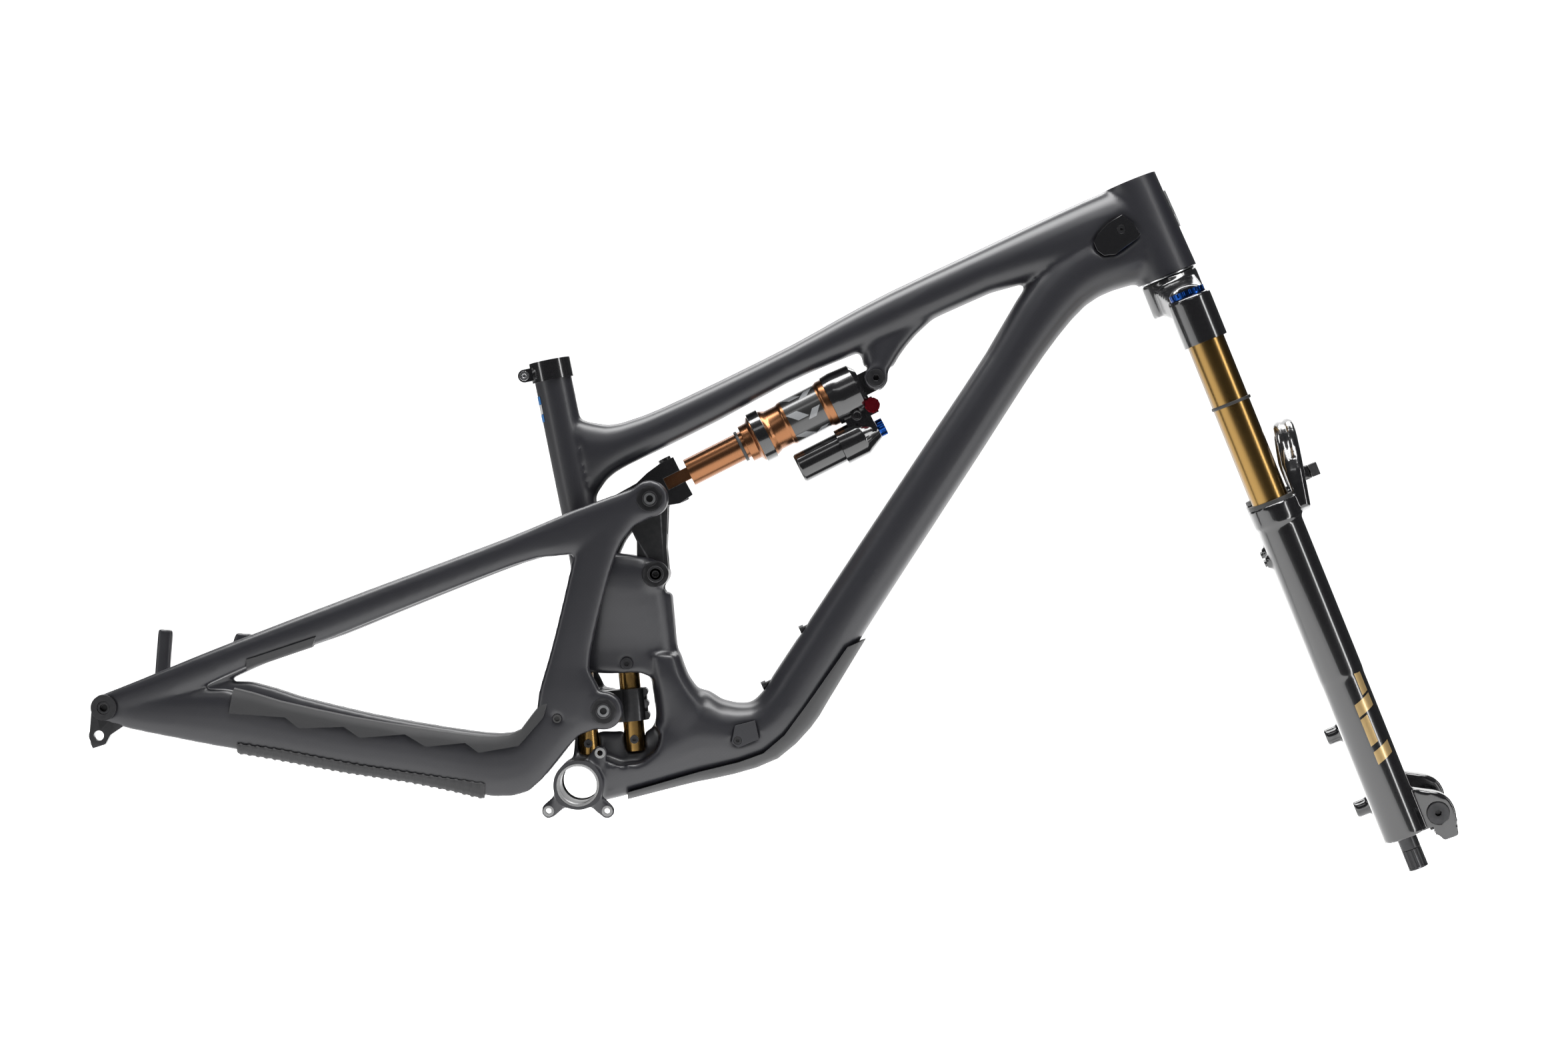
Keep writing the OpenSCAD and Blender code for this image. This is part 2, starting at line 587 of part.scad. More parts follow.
module cable_grommets() color(rubber) both_sides() difference() {
    pin_y([-23, 60.5], 4, arm_out - 3, arm_out + 1.2);
    pin_y([-23, 60.5], 2.4, arm_out - 1, arm_out + 3);
}

// ---- Rocker link ----

module link_outline() {
    polygon([[45, 193], [38, 205], [36.9, 217], [36, 228], [29, 240], [16.7, 246.2], [9, 267.5], [38, 282],
        [56, 281], [61.7, 268], [63.8, 225], [68, 199.5], [56, 187.6]]);
    at2(link_pivot) circle(12);
    at2(arm_pivot) circle(16);
    at2(yoke_pivot) circle(12);
}
module rocker_link() color(gloss_black) difference() {
    union() {
        plate_pair(link_in, link_out) link_outline();
        plate(-link_out, link_out) polygon([[45, 205], [44, 228], [52, 240], [63, 237], [63.8, 225], [65, 205]]);
        pin_y(link_pivot, 12, -link_out, link_out);
    }
    pin_y(link_pivot, pivot_shaft_r + run_gap, -60, 60);
    pins_y(arm_pivot, arm_pin_r + open_pivot_play, 0, 60);
    pin_y(yoke_pivot, yoke_pin_r, -60, 60);
}
module yoke_pivot_pin() color(steel) pin_y(yoke_pivot, yoke_pin_r, -link_out, link_out);

// ---- Shock ----

shaft_r = shock_shaft_d / 2;
can_r = air_can_d / 2;
can_from = 74;
can_to = 162;
reservoir_drop = 43;
knob_at = [195, -21];
knob_r = 7;
valve_at = [178, -23];
valve_cap_r = 4.8;
valve_face = 11;
stem_r = 3;
module at_reservoir() at_shock() translate([0, 0, -reservoir_drop]) children();
module shock_head() color(gloss_black) at_shock() difference() {
    union() {
        turned_x([[0, can_to], [24, can_to], [24.8, can_to + 9], [23.5, 190], [17, 195], [0, 195]]);
        translate([185, -12.2, -10.5]) cube([shock_len - 185.8, 24.4, 21]);
        translate([shock_len - 0.8, 12.2, 0]) rotate([90, 0, 0]) cylinder(r = 10.5, h = 24.4);
        translate([166, -11, -reservoir_drop]) cube([23.6, 22, reservoir_drop]);
        translate([186, -14, -29]) cube([12, 20, 16]);
        translate([0, 0, -reservoir_drop]) turned_x([[0, 152], [17.2, 152], [17.2, 174], [12, 184], [9, 190], [0, 190]]);
    }
    translate([shock_len - 0.8, 50, 0]) rotate([90, 0, 0]) cylinder(r = 7.5, h = 100);
    translate([0, 0, -reservoir_drop]) turned_x([[0, 185], [stem_r, 185], [stem_r, 200], [0, 200]]);
    head_pocket(knob_at, 14, knob_r + side_gap);
    head_pocket(valve_at, valve_face, valve_cap_r + side_gap);
    translate([-lip, 0, 0]) turned_x([[0, 150], [shaft_r + 3, 150], [shaft_r + 3, 171], [0, 171]]);
    at_ear_clear();
}
// A hole for a stem in the side of the head, with a flat for the knob or cap on it
module head_pocket(p, face, flat_r) {
    translate([p[0], 0, p[1]]) rotate([90, 0, 0]) {
        translate([0, 0, 5]) cylinder(r = stem_r, h = 12);
        translate([0, 0, face]) cylinder(r = flat_r, h = 14);
    }
}
// Room for the ears of the shock mount on both sides of the eyelet
module at_ear_clear() {
    for (side = [-1, 1]) translate([shock_len - 0.8, side * 27.4, 0]) rotate([90, 0, 0])
        cylinder(r = 13.4, h = 30, center = true);
}
module air_can() color(bronze) at_shock() difference() {
    turned_x([[0, can_from], [17.6, can_from], [17.9, can_from + 8], [22, 84.5], [22, 97.5], [19.6, 103],
        [19.6, 114], [can_r, 117], [can_r, 154], [can_r + 1.5, 157], [can_r + 1.5, can_to], [0, can_to]]);
    turned_x([[0, can_from - 1], [shaft_r + run_gap, can_from - 1], [shaft_r + run_gap, can_from + 10],
        [shaft_r + 3, can_from + 10], [shaft_r + 3, can_to + 1], [0, can_to + 1]]);
}
module air_can_band() color(gloss_black) at_shock() difference() {
    turned_x([[22, 85.5], [24.6, 85.5], [24.6, 96.5], [22, 96.5]]);
}
module shock_reservoir() color(gloss_black) at_reservoir() difference() {
    turned_x([[0, 108], [13, 108], [14.2, 110], [14.2, 152], [0, 152]]);
    turned_x([[0, 107], [9, 107], [6, 111], [0, 111]]);
}
module air_valve_cap() color(gloss_black) at_shock() translate([valve_at[0], 0, valve_at[1]])
    rotate([90, 0, 0]) difference() {
        union() {
            translate([0, 0, 6]) cylinder(r = stem_r - run_gap, h = 8);
            translate([0, 0, valve_face + 0.2]) cylinder(r = valve_cap_r, h = 7);
        }
        translate([0, 0, 16.5]) cylinder(r = 3.4, h = 3);
    }
module shock_mount_bushing() color(steel) at(shock_front) rotate([90, 0, 0]) difference() {
    cylinder(r = 7.5, h = 25, center = true);
    cylinder(r = 5, h = 60, center = true);
}
module shock_shaft() color(bronze) at_shock() difference() {
    union() {
        turned_x([[0, 15], [shaft_r, 15], [shaft_r, 104], [0, 104]]);
        translate([-9, -8, -6]) cube([25, 16, 11.5]);
    }
    translate([0, 0, -20]) cylinder(r = 4, h = 40);
}
module shock_yoke() color(gloss_black) at_shock() difference() {
    plate(-yoke_half, yoke_half) {
        polygon([[-yoke_len, 12], [-33, 13], [-20, 17], [-6, 19.4], [8.4, 19.4], [8.4, 5.5], [-9, 5.5],
            [-9, -6], [8.5, -6], [9, -20], [-5, -22], [-18, -18], [-35, -13], [-yoke_len, -12]]);
        translate([-yoke_len, 0]) circle(12);
    }
    translate([0, 0, -40]) cylinder(r = 4, h = 80);
    translate([-yoke_len, 50, 0]) rotate([90, 0, 0]) cylinder(r = yoke_pin_r + open_pivot_play + 2.2, h = 100);
}
module yoke_bolt() color(steel) at_shock() difference() {
    union() {
        translate([0, 0, -22]) cylinder(r = 4, h = 43);
        translate([0, 0, 19.4]) cylinder(r = 6, h = 3);
    }
    translate([0, 0, 20.5]) cylinder(r = 2.5, h = 4, $fn = 6);
}
module shock_travel_ring() color(rubber) at_shock() difference() {
    turned_x([[0, 68], [shaft_r + 1.8, 68], [shaft_r + 1.8, 71], [0, 71]]);
    turned_x([[0, 60], [shaft_r + run_gap, 60], [shaft_r + run_gap, 80], [0, 80]]);
}
module knob(r, h, teeth) {
    difference() {
        cylinder(r = r, h = h);
        for (k = [0 : teeth - 1]) rotate(360 / teeth * k) translate([r + 0.6, 0, 1.5]) cylinder(r = 1.4, h = h);
    }
}
module shock_rebound_knob() color(red) at_shock() translate([knob_at[0], 0, knob_at[1]]) rotate([90, 0, 0]) {
    translate([0, 0, 14 + side_gap]) knob(knob_r, 6, 10);
    translate([0, 0, 6]) cylinder(r = stem_r - run_gap, h = 9);
}
module shock_compression_knob() color(blue) at_reservoir() rotate([0, 90, 0]) {
    translate([0, 0, 190 + side_gap]) knob(8.3, 6.5, 12);
    translate([0, 0, 186]) cylinder(r = stem_r - run_gap, h = 5);
}

// ---- Fork ----

steerer_d = 28.6;
stanchion_r = stanchion_d / 2;
leg_r = lowers_d / 2;
stanchion_end = 395;
axle_x = fork_offset - leg_offset;
module crown_steerer() color(gloss_black) difference() {
    union() {
        at_fork() {
            translate([0, 0, -34]) cylinder(r = 27, h = 32);
            translate([0, 0, -3]) cylinder(r = 20, h = 18);
            translate([0, 0, 15]) cylinder(r1 = 20, r2 = steerer_d / 2, h = 20);
            cylinder(d = steerer_d, h = head_tube_len - 2);
            hull() {
                translate([1, 0, -30]) cylinder(r = 22, h = 24);
                for (side = [-1, 1]) translate([leg_offset, side * stanchion_spacing / 2, -44])
                    cylinder(r = 17, h = 16);
            }
        }
        at_legs() translate([0, 0, -crown_low]) cylinder(r = 20.5, h = crown_low - crown_top);
    }
    at_legs() translate([0, 0, -crown_low - 1]) cylinder(r = stanchion_r, h = crown_low);
    at_fork() translate([0, 0, -40]) cylinder(r = 11.5, h = head_tube_len + 60);
}
module crown_race() color(steel) at_fork() translate([0, 0, -1.9]) difference() {
    cylinder(r = 25.5, h = 1.5);
    translate([0, 0, -1]) cylinder(r = 20, h = 4);
}
module stanchions() color(gold) at_legs() translate([0, 0, -stanchion_end]) difference() {
    cylinder(r = stanchion_r, h = stanchion_end - crown_top);
    translate([0, 0, -1]) cylinder(r = stanchion_r - 2, h = stanchion_end - crown_top - 5);
}
module fork_air_cap() color(gloss_black) at_leg(1) translate([0, 0, -crown_top]) {
    cylinder(r = 13, h = 3);
    translate([0, 0, 3]) cylinder(r = 8, h = 3);
}
module fork_compression_knob() color(blue) at_leg(-1) translate([0, 0, -crown_top + side_gap])
    knob(stanchion_r - side_gap, 5.5, 18);
module fork_travel_ring() color(rubber) at_leg(-1) translate([0, 0, -133]) difference() {
    cylinder(r = stanchion_r + 1.8, h = 3);
    translate([0, 0, -1]) cylinder(r = stanchion_r + run_gap, h = 5);
}
arch_steps = 20;
// The arch joins the two lowers in front of the stanchions
module arch() {
    span = stanchion_spacing / 2;
    sides = 12;
    points = [for (i = [0 : arch_steps])
        let (a = -90 + 180 * i / arch_steps, c = pow(max(cos(a), 0), 0.7),
            mid = [leg_offset + 22 + 15 * c, span * sin(a), -246 + 74 * c],
            out = [0, sin(a), 0.35 + cos(a)] / norm([sin(a), 0.35 + cos(a)]))
        for (j = [0 : sides - 1])
            let (b = 360 * j / sides)
            mid + [10 * power(cos(b), 3), 0, 0] + 8 * power(sin(b), 3) * out];
    polyhedron(
        points = points,
        faces = [
            for (i = [0 : arch_steps - 1]) each wall(i, sides, false),
            each end_cap(0, sides, true),
            each end_cap(arch_steps * sides, sides, false)
        ]
    );
}
module leg_plate(y0, y1) { rotate([90, 0, 0]) translate([0, 0, -y1]) linear_extrude(height = y1 - y0) children(); }
hub_in = front_hub_width / 2;
leg_y = stanchion_spacing / 2;
caliper_posts = [[-23, -463], [-23, -537.2]];
bleeder_z = -279;
seal_r = 21.5;
pinch_at = [axle_x - 12, 0, -fork_len - 13.5];
module fork_lowers() color(gloss_black) difference() {
    union() {
        at_legs() {
            translate([0, 0, -lowers_low]) cylinder(r = leg_r, h = lowers_low - lowers_top - 18);
            translate([0, 0, -lowers_top - 22]) cylinder(r = 22.7, h = 19);
        }
        at_fork() arch();
        for (side = [-1, 1]) at_leg(side) leg_plate(side < 0 ? -8 : hub_in - leg_y, side < 0 ? leg_y - hub_in : 8) {
            translate([axle_x, -fork_len]) {
                polygon([[-axle_x, 42], [-20, 33], [-14, 29], [1, 20.5], [7, 17], [11.5, 12.5], [14.7, 6.5],
                    [15.6, 0], [15, -6], [12.5, -16], [10, -26], [-4, -26], [-7, -19], [-14, -16.5], [-20, -9.8],
                    [-axle_x, -8]]);
            }
        }
        for (p = caliper_posts) at_leg(1) translate([p[0] + 5, 0, p[1]]) rotate([0, -90, 0]) cylinder(r = 8, h = 16);
        at_leg(-1) translate([-17, 0, bleeder_z]) rotate([0, -90, 0]) cylinder(r = 6, h = 8);
        at_leg(1) translate([-17, 0, bleeder_z]) rotate([0, -90, 0]) cylinder(r = 6, h = 8);
        at_fork() translate([leg_offset + 26, 56, -228]) cube([20, 14, 14]);
    }
    at_legs() {
        translate([0, 0, -550]) cylinder(r = stanchion_r + run_gap, h = 400);
        translate([0, 0, -lowers_top - 5]) cylinder(r = seal_r + 0.1, h = 90);
        translate([0, 0, -lowers_low - 1]) cylinder(r = 6, h = 20);
        translate([axle_x - 0.8, -30, -fork_len - 30]) cube([1.6, 60, 30]);
    }
    at_fork() translate([fork_offset, 0, -fork_len]) rotate([90, 0, 0]) cylinder(r = 7.5, h = 300, center = true);
    at_fork() translate([fork_offset, 0, -fork_len]) rotate([90, 0, 0])
        cylinder(r = 30, h = front_hub_width, center = true);
    for (p = caliper_posts) at_leg(1) translate([p[0] - 12, 0, p[1]]) rotate([0, 90, 0]) cylinder(r = 2.5, h = 14);
    for (side = [-1, 1]) at_leg(side) {
        translate([-30, 0, bleeder_z]) rotate([0, 90, 0]) cylinder(r = 3.5, h = 10);
        translate(pinch_at) rotate([0, 90, 0]) cylinder(r = 2, h = 30);
    }
    at_fork() translate([leg_offset + 38, 63, -221]) rotate([0, 90, 0]) cylinder(r = 2, h = 10);
}
module wiper_seals() color(rubber) at_legs() translate([0, 0, -lowers_top - 5]) difference() {
    cylinder(r = seal_r, h = 5);
    translate([0, 0, -1]) cylinder(r = stanchion_r + run_gap, h = 8);
}
module front_axle() color(gloss_black) at_fork() translate([fork_offset, 0, -fork_len]) rotate([90, 0, 0])
    difference() {
        union() {
            translate([0, 0, -leg_y - 8]) cylinder(r = 7.5, h = 2 * leg_y + 16);
            translate([0, 0, leg_y + 8]) cylinder(r = 10, h = 3);
        }
        translate([0, 0, leg_y + 3]) cylinder(r = 3, h = 10, $fn = 6);
        translate([0, 0, -leg_y - 9]) cylinder(r = 5, h = 2 * leg_y - 4);
    }
module axle_pinch_bolts() color(steel) for (side = [-1, 1]) at_leg(side)
    translate(pinch_at) rotate([0, 90, 0]) cylinder(r = 2, h = 26);
module damper_foot() color(gloss_black) at_legs() translate([0, 0, -lowers_low - 12]) difference() {
    cylinder(r = 9, h = 12);
    translate([0, 0, -1]) cylinder(r = 5.5, h = 9);
}
module hose_guide() color(gloss_black) at_fork() translate([leg_offset + 46, 63, -221]) rotate([0, 90, 0]) difference() {
    union() {
        translate([0, 0, -6]) cylinder(r = 2, h = 7);
        translate([-6, -8, 0.2]) cube([12, 16, 8]);
    }
    translate([0, 0, 4]) rotate([0, 90, 0]) cylinder(r = 2.6, h = 40, center = true);
}
module bleeder(side) {
    at_leg(side) translate([-26.5, 0, bleeder_z]) rotate([0, 90, 0]) cylinder(r = 3.5 - run_gap, h = 5);
}
module bleeder_right() color(gloss_black) bleeder(-1);
module bleeder_left() color(gloss_black) bleeder(1);
module fork_rebound_knob() color(red) at_leg(-1) translate([0, 0, -lowers_low - 31]) {
    knob(9, 18.5, 12);
    translate([0, 0, 18]) cylinder(r = 5.5 - run_gap, h = 8.5);
}

front_triangle();
bb_threaded_sleeve();
iscg_inserts();
seat_clamp();
seat_clamp_bolt();
upper_headset_bearing();
lower_headset_bearing();
slide_rails();
rail_bolts();
link_pivot_axle();
link_pivot_bearings();
shock_mount_bolt();
cable_port_covers();
cover_screws();
access_cover();
down_tube_guard();
bottle_bolts();
head_badge();
slide_carrier();
carrier_bushings();
main_pivot_axle();
swingarm();
swingarm_bearings();
upper_pivot_pins();
pivot_caps();
derailleur_hanger();
rear_axle();
chainstay_guard();
seatstay_guard();
lower_stay_guard();
cable_grommets();
rocker_link();
yoke_pivot_pin();
shock_head();
air_can();
air_can_band();
shock_reservoir();
air_valve_cap();
shock_mount_bushing();
shock_shaft();
shock_yoke();
yoke_bolt();
shock_travel_ring();
shock_rebound_knob();
shock_compression_knob();
crown_steerer();
crown_race();
stanchions();
fork_air_cap();
fork_travel_ring();
fork_compression_knob();
fork_lowers();
wiper_seals();
front_axle();
axle_pinch_bolts();
damper_foot();
hose_guide();
bleeder_right();
bleeder_left();
fork_rebound_knob();
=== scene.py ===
"""Looks of a full-suspension bicycle frame with its air shock and its suspension fork."""

import json
import math

import bmesh
import bpy
from mathutils import Matrix, Vector


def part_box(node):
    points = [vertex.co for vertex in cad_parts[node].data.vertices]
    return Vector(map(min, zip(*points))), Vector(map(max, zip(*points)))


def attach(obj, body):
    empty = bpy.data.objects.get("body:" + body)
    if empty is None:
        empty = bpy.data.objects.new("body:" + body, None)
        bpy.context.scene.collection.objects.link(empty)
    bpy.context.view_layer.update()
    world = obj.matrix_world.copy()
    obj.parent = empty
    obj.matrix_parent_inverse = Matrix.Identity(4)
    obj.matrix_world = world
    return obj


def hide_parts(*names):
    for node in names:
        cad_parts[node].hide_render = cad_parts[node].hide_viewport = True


MM = 0.001
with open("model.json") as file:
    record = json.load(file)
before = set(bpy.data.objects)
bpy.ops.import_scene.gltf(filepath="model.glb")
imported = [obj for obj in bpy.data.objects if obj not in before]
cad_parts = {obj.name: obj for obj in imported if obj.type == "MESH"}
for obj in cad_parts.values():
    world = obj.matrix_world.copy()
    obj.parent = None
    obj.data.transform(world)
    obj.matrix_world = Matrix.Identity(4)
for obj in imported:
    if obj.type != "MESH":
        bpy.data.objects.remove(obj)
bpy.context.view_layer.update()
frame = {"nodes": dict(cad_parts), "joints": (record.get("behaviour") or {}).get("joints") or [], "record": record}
joints = {joint["name"]: joint for joint in frame["joints"]}
bodies = frame["record"]["behaviour"]["bodies"]
body_of_node = {node: body for body, nodes in bodies.items() for node in nodes}

# ---- Places, from the imported joints and given measures ----


def place(origin, along_x, along_z):
    """A matrix that puts a shape made round the world's origin where the piece is."""
    z = Vector(along_z).normalized()
    y = z.cross(Vector(along_x)).normalized()
    x = y.cross(z)
    turn = Matrix((x, y, z)).transposed().to_4x4()
    return Matrix.Translation(Vector(origin)) @ turn


LEFT = Vector((0, 1, 0))
main_pivot = Vector(joints["main_pivot"]["pos_m"])
link_pivot = Vector(joints["link_pivot"]["pos_m"])
shock_front = Vector(joints["shock_mount_pivot"]["pos_m"])
shock_along = Vector(joints["shock_stroke"]["axis"])
shock_up = shock_along.cross(LEFT) * -1
if shock_up.z < 0:
    shock_up = -shock_up
SHOCK_LENGTH = 209.2 * MM
RESERVOIR_DROP = 43 * MM
shock_rear = shock_front - shock_along * SHOCK_LENGTH
steer_base = Vector(joints["steering"]["pos_m"])
steer_up = Vector(joints["steering"]["axis"])
press = Vector(joints["bleeder_press_left"]["axis"])
fork_space = place(steer_base, press, steer_up)
head_space = place(steer_base, LEFT.cross(steer_up), steer_up)
SEAT_LEAN = math.radians(16)
SEAT_TOP = (-0.059, 0, 0.388)
seat_space = Matrix.Translation(SEAT_TOP) @ Matrix.Rotation(-SEAT_LEAN, 4, "Y")
LEG_Y = 67 * MM
LEG_X = 9.5 * MM
LEG_R = 20.5 * MM
AXLE_X = 44 * MM
AXLE_Z = -546.7 * MM


def leg_space(side):
    return fork_space @ Matrix.Translation((LEG_X, side * LEG_Y, 0))


# ---- Finishes ----


def socket(group, name, kind, way, value=None):
    made = group.interface.new_socket(name=name, in_out=way, socket_type=kind)
    if value is not None:
        made.default_value = value
    return made


def link(tree, source, target):
    tree.links.new(source, target)


def math_node(tree, operation, first, second):
    node = tree.nodes.new("ShaderNodeMath")
    node.operation = operation
    for socket_in, value in zip(node.inputs, (first, second)):
        if isinstance(value, (int, float)):
            socket_in.default_value = value
        else:
            link(tree, value, socket_in)
    return node.outputs[0]


def noise_node(tree, vector, scale, detail=4, roughness=0.55):
    node = tree.nodes.new("ShaderNodeTexNoise")
    node.inputs["Detail"].default_value = detail
    node.inputs["Roughness"].default_value = roughness
    link(tree, vector, node.inputs["Vector"])
    if isinstance(scale, (int, float)):
        node.inputs["Scale"].default_value = scale
    else:
        link(tree, scale, node.inputs["Scale"])
    return node.outputs["Fac"]


def grain_group():
    """Fine speckle and slow cloudiness that vary the colour and the roughness."""
    tree = bpy.data.node_groups.new("surface_grain", "ShaderNodeTree")
    socket(tree, "Vector", "NodeSocketVector", "INPUT")
    socket(tree, "Color", "NodeSocketColor", "INPUT")
    socket(tree, "Fine scale", "NodeSocketFloat", "INPUT", 900.0)
    socket(tree, "Contrast", "NodeSocketFloat", "INPUT", 0.15)
    socket(tree, "Roughness", "NodeSocketFloat", "INPUT", 0.4)
    socket(tree, "Color", "NodeSocketColor", "OUTPUT")
    socket(tree, "Roughness", "NodeSocketFloat", "OUTPUT")
    socket(tree, "Height", "NodeSocketFloat", "OUTPUT")
    inner = tree.nodes.new("NodeGroupInput")
    outer = tree.nodes.new("NodeGroupOutput")
    fine = noise_node(tree, inner.outputs["Vector"], inner.outputs["Fine scale"])
    slow = noise_node(tree, inner.outputs["Vector"], 14, 3)
    fine_share = math_node(tree, "MULTIPLY", fine, 0.6)
    slow_share = math_node(tree, "MULTIPLY", slow, 0.4)
    both = math_node(tree, "ADD", fine_share, slow_share)
    centred = math_node(tree, "SUBTRACT", both, 0.5)
    swing = math_node(tree, "MULTIPLY", centred, inner.outputs["Contrast"])
    bright = math_node(tree, "ADD", math_node(tree, "MULTIPLY", swing, 4), 1)
    mixed = tree.nodes.new("ShaderNodeVectorMath")
    mixed.operation = "SCALE"
    link(tree, inner.outputs["Color"], mixed.inputs[0])
    link(tree, bright, mixed.inputs["Scale"])
    link(tree, mixed.outputs[0], outer.inputs["Color"])
    link(tree, math_node(tree, "ADD", inner.outputs["Roughness"], swing), outer.inputs["Roughness"])
    link(tree, fine, outer.inputs["Height"])
    return tree


def wear_and_sheen_group():
    """Worn and lit edges: a mask that is one on convex edges, in patches; partly finish worn off, partly a painted
    highlight along the edges.
    """
    tree = bpy.data.node_groups.new("edge_wear_and_sheen", "ShaderNodeTree")
    socket(tree, "Vector", "NodeSocketVector", "INPUT")
    socket(tree, "Amount", "NodeSocketFloat", "INPUT", 0.5)
    socket(tree, "Mask", "NodeSocketFloat", "OUTPUT")
    inner = tree.nodes.new("NodeGroupInput")
    outer = tree.nodes.new("NodeGroupOutput")
    shape = tree.nodes.new("ShaderNodeNewGeometry")
    edge = math_node(tree, "SUBTRACT", shape.outputs["Pointiness"], 0.53)
    patches = noise_node(tree, inner.outputs["Vector"], 260, 5)
    worn_and_lit_edges = math_node(tree, "MULTIPLY", edge, math_node(tree, "MULTIPLY", patches, 22))
    strength = math_node(tree, "MULTIPLY", worn_and_lit_edges, inner.outputs["Amount"])
    clamp = tree.nodes.new("ShaderNodeClamp")
    link(tree, strength, clamp.inputs["Value"])
    link(tree, clamp.outputs[0], outer.inputs["Mask"])
    return tree


def twill_group():
    """Two crossed sets of fibre bands under a clear coat."""
    tree = bpy.data.node_groups.new("fibre_twill", "ShaderNodeTree")
    socket(tree, "Vector", "NodeSocketVector", "INPUT")
    socket(tree, "Pitch scale", "NodeSocketFloat", "INPUT", 130.0)
    socket(tree, "Mask", "NodeSocketFloat", "OUTPUT")
    inner = tree.nodes.new("NodeGroupInput")
    outer = tree.nodes.new("NodeGroupOutput")
    waves = []
    for angle in (45, -45):
        turned = tree.nodes.new("ShaderNodeMapping")
        turned.inputs["Rotation"].default_value = (0, math.radians(angle), 0)
        link(tree, inner.outputs["Vector"], turned.inputs["Vector"])
        wave = tree.nodes.new("ShaderNodeTexWave")
        wave.bands_direction = "X"
        wave.inputs["Distortion"].default_value = 0.6
        link(tree, turned.outputs[0], wave.inputs["Vector"])
        link(tree, inner.outputs["Pitch scale"], wave.inputs["Scale"])
        waves.append(wave.outputs["Fac"])
    link(tree, math_node(tree, "MULTIPLY", waves[0], waves[1]), outer.inputs["Mask"])
    return tree


def turning_group():
    """Fine lathe lines round one of the piece's axes."""
    tree = bpy.data.node_groups.new("lathe_lines", "ShaderNodeTree")
    socket(tree, "Vector", "NodeSocketVector", "INPUT")
    socket(tree, "Line scale", "NodeSocketFloat", "INPUT", 2200.0)
    socket(tree, "Height", "NodeSocketFloat", "OUTPUT")
    inner = tree.nodes.new("NodeGroupInput")
    outer = tree.nodes.new("NodeGroupOutput")
    stretched = tree.nodes.new("ShaderNodeMapping")
    stretched.inputs["Scale"].default_value = (0.03, 1, 0.03)
    link(tree, inner.outputs["Vector"], stretched.inputs["Vector"])
    lines = noise_node(tree, stretched.outputs[0], inner.outputs["Line scale"], 2)
    link(tree, lines, outer.inputs["Height"])
    return tree


GRAIN = grain_group()
WEAR_AND_SHEEN = wear_and_sheen_group()
TWILL = twill_group()
TURNING = turning_group()


def place_group(tree, group, **values):
    node = tree.nodes.new("ShaderNodeGroup")
    node.node_tree = group
    for name, value in values.items():
        target = node.inputs[name.replace("_", " ")]
        if isinstance(value, bpy.types.NodeSocket):
            link(tree, value, target)
        else:
            target.default_value = value
    return node


def blend_color(tree, mask, below, above):
    mix = tree.nodes.new("ShaderNodeMix")
    mix.data_type = "RGBA"
    for name, kind, value in (("Factor", "VALUE", mask), ("A", "RGBA", below), ("B", "RGBA", above)):
        target = next(s for s in mix.inputs if s.name == name and s.type == kind)
        if isinstance(value, bpy.types.NodeSocket):
            link(tree, value, target)
        else:
            target.default_value = value
    return next(s for s in mix.outputs if s.type == "RGBA")


def finish_material(
    name, color, roughness, metal=0.0, coat=0.0, coat_roughness=0.1, specular=0.5, sheen=0.0,
    contrast=0.12, fine=900.0, bump=0.0, wear_and_sheen=0.0, wear_and_sheen_color=(0.5, 0.5, 0.5, 1), turned=0.0, twill=0.0,
):
    """One finish: a colour with grain, optional lathe lines or fibre twill, and lighter edges that are partly wear
    and partly a painted edge highlight.
    """
    material = bpy.data.materials.new(name)
    material.use_nodes = True
    tree = material.node_tree
    shader = tree.nodes["Principled BSDF"]
    shader.inputs["Metallic"].default_value = metal
    shader.inputs["Coat Weight"].default_value = coat
    shader.inputs["Coat Roughness"].default_value = coat_roughness
    shader.inputs["Specular IOR Level"].default_value = specular
    shader.inputs["Sheen Weight"].default_value = sheen
    coords = tree.nodes.new("ShaderNodeTexCoord").outputs["Object"]
    base = (*color, 1)
    if twill:
        bands = place_group(tree, TWILL, Vector=coords).outputs["Mask"]
        light = tuple(min(1, c * (1 + twill)) for c in color) + (1,)
        base = blend_color(tree, bands, base, light)
    grain = place_group(
        tree, GRAIN, Vector=coords, Color=base, Fine_scale=fine, Contrast=contrast, Roughness=roughness
    )
    shown = grain.outputs["Color"]
    # Convex edges take the lighter edge colour: partly worn finish, partly a painted highlight along the edges.
    if wear_and_sheen:
        mask = place_group(tree, WEAR_AND_SHEEN, Vector=coords, Amount=wear_and_sheen).outputs["Mask"]
        shown = blend_color(tree, mask, shown, wear_and_sheen_color)
    link(tree, shown, shader.inputs["Base Color"])
    link(tree, grain.outputs["Roughness"], shader.inputs["Roughness"])
    if turned or bump:
        relief = tree.nodes.new("ShaderNodeBump")
        relief.inputs["Distance"].default_value = 0.0002
        relief.inputs["Strength"].default_value = turned or bump
        height = grain.outputs["Height"]
        if turned:
            height = place_group(tree, TURNING, Vector=coords).outputs["Height"]
        link(tree, height, relief.inputs["Height"])
        link(tree, relief.outputs[0], shader.inputs["Normal"])
    return material


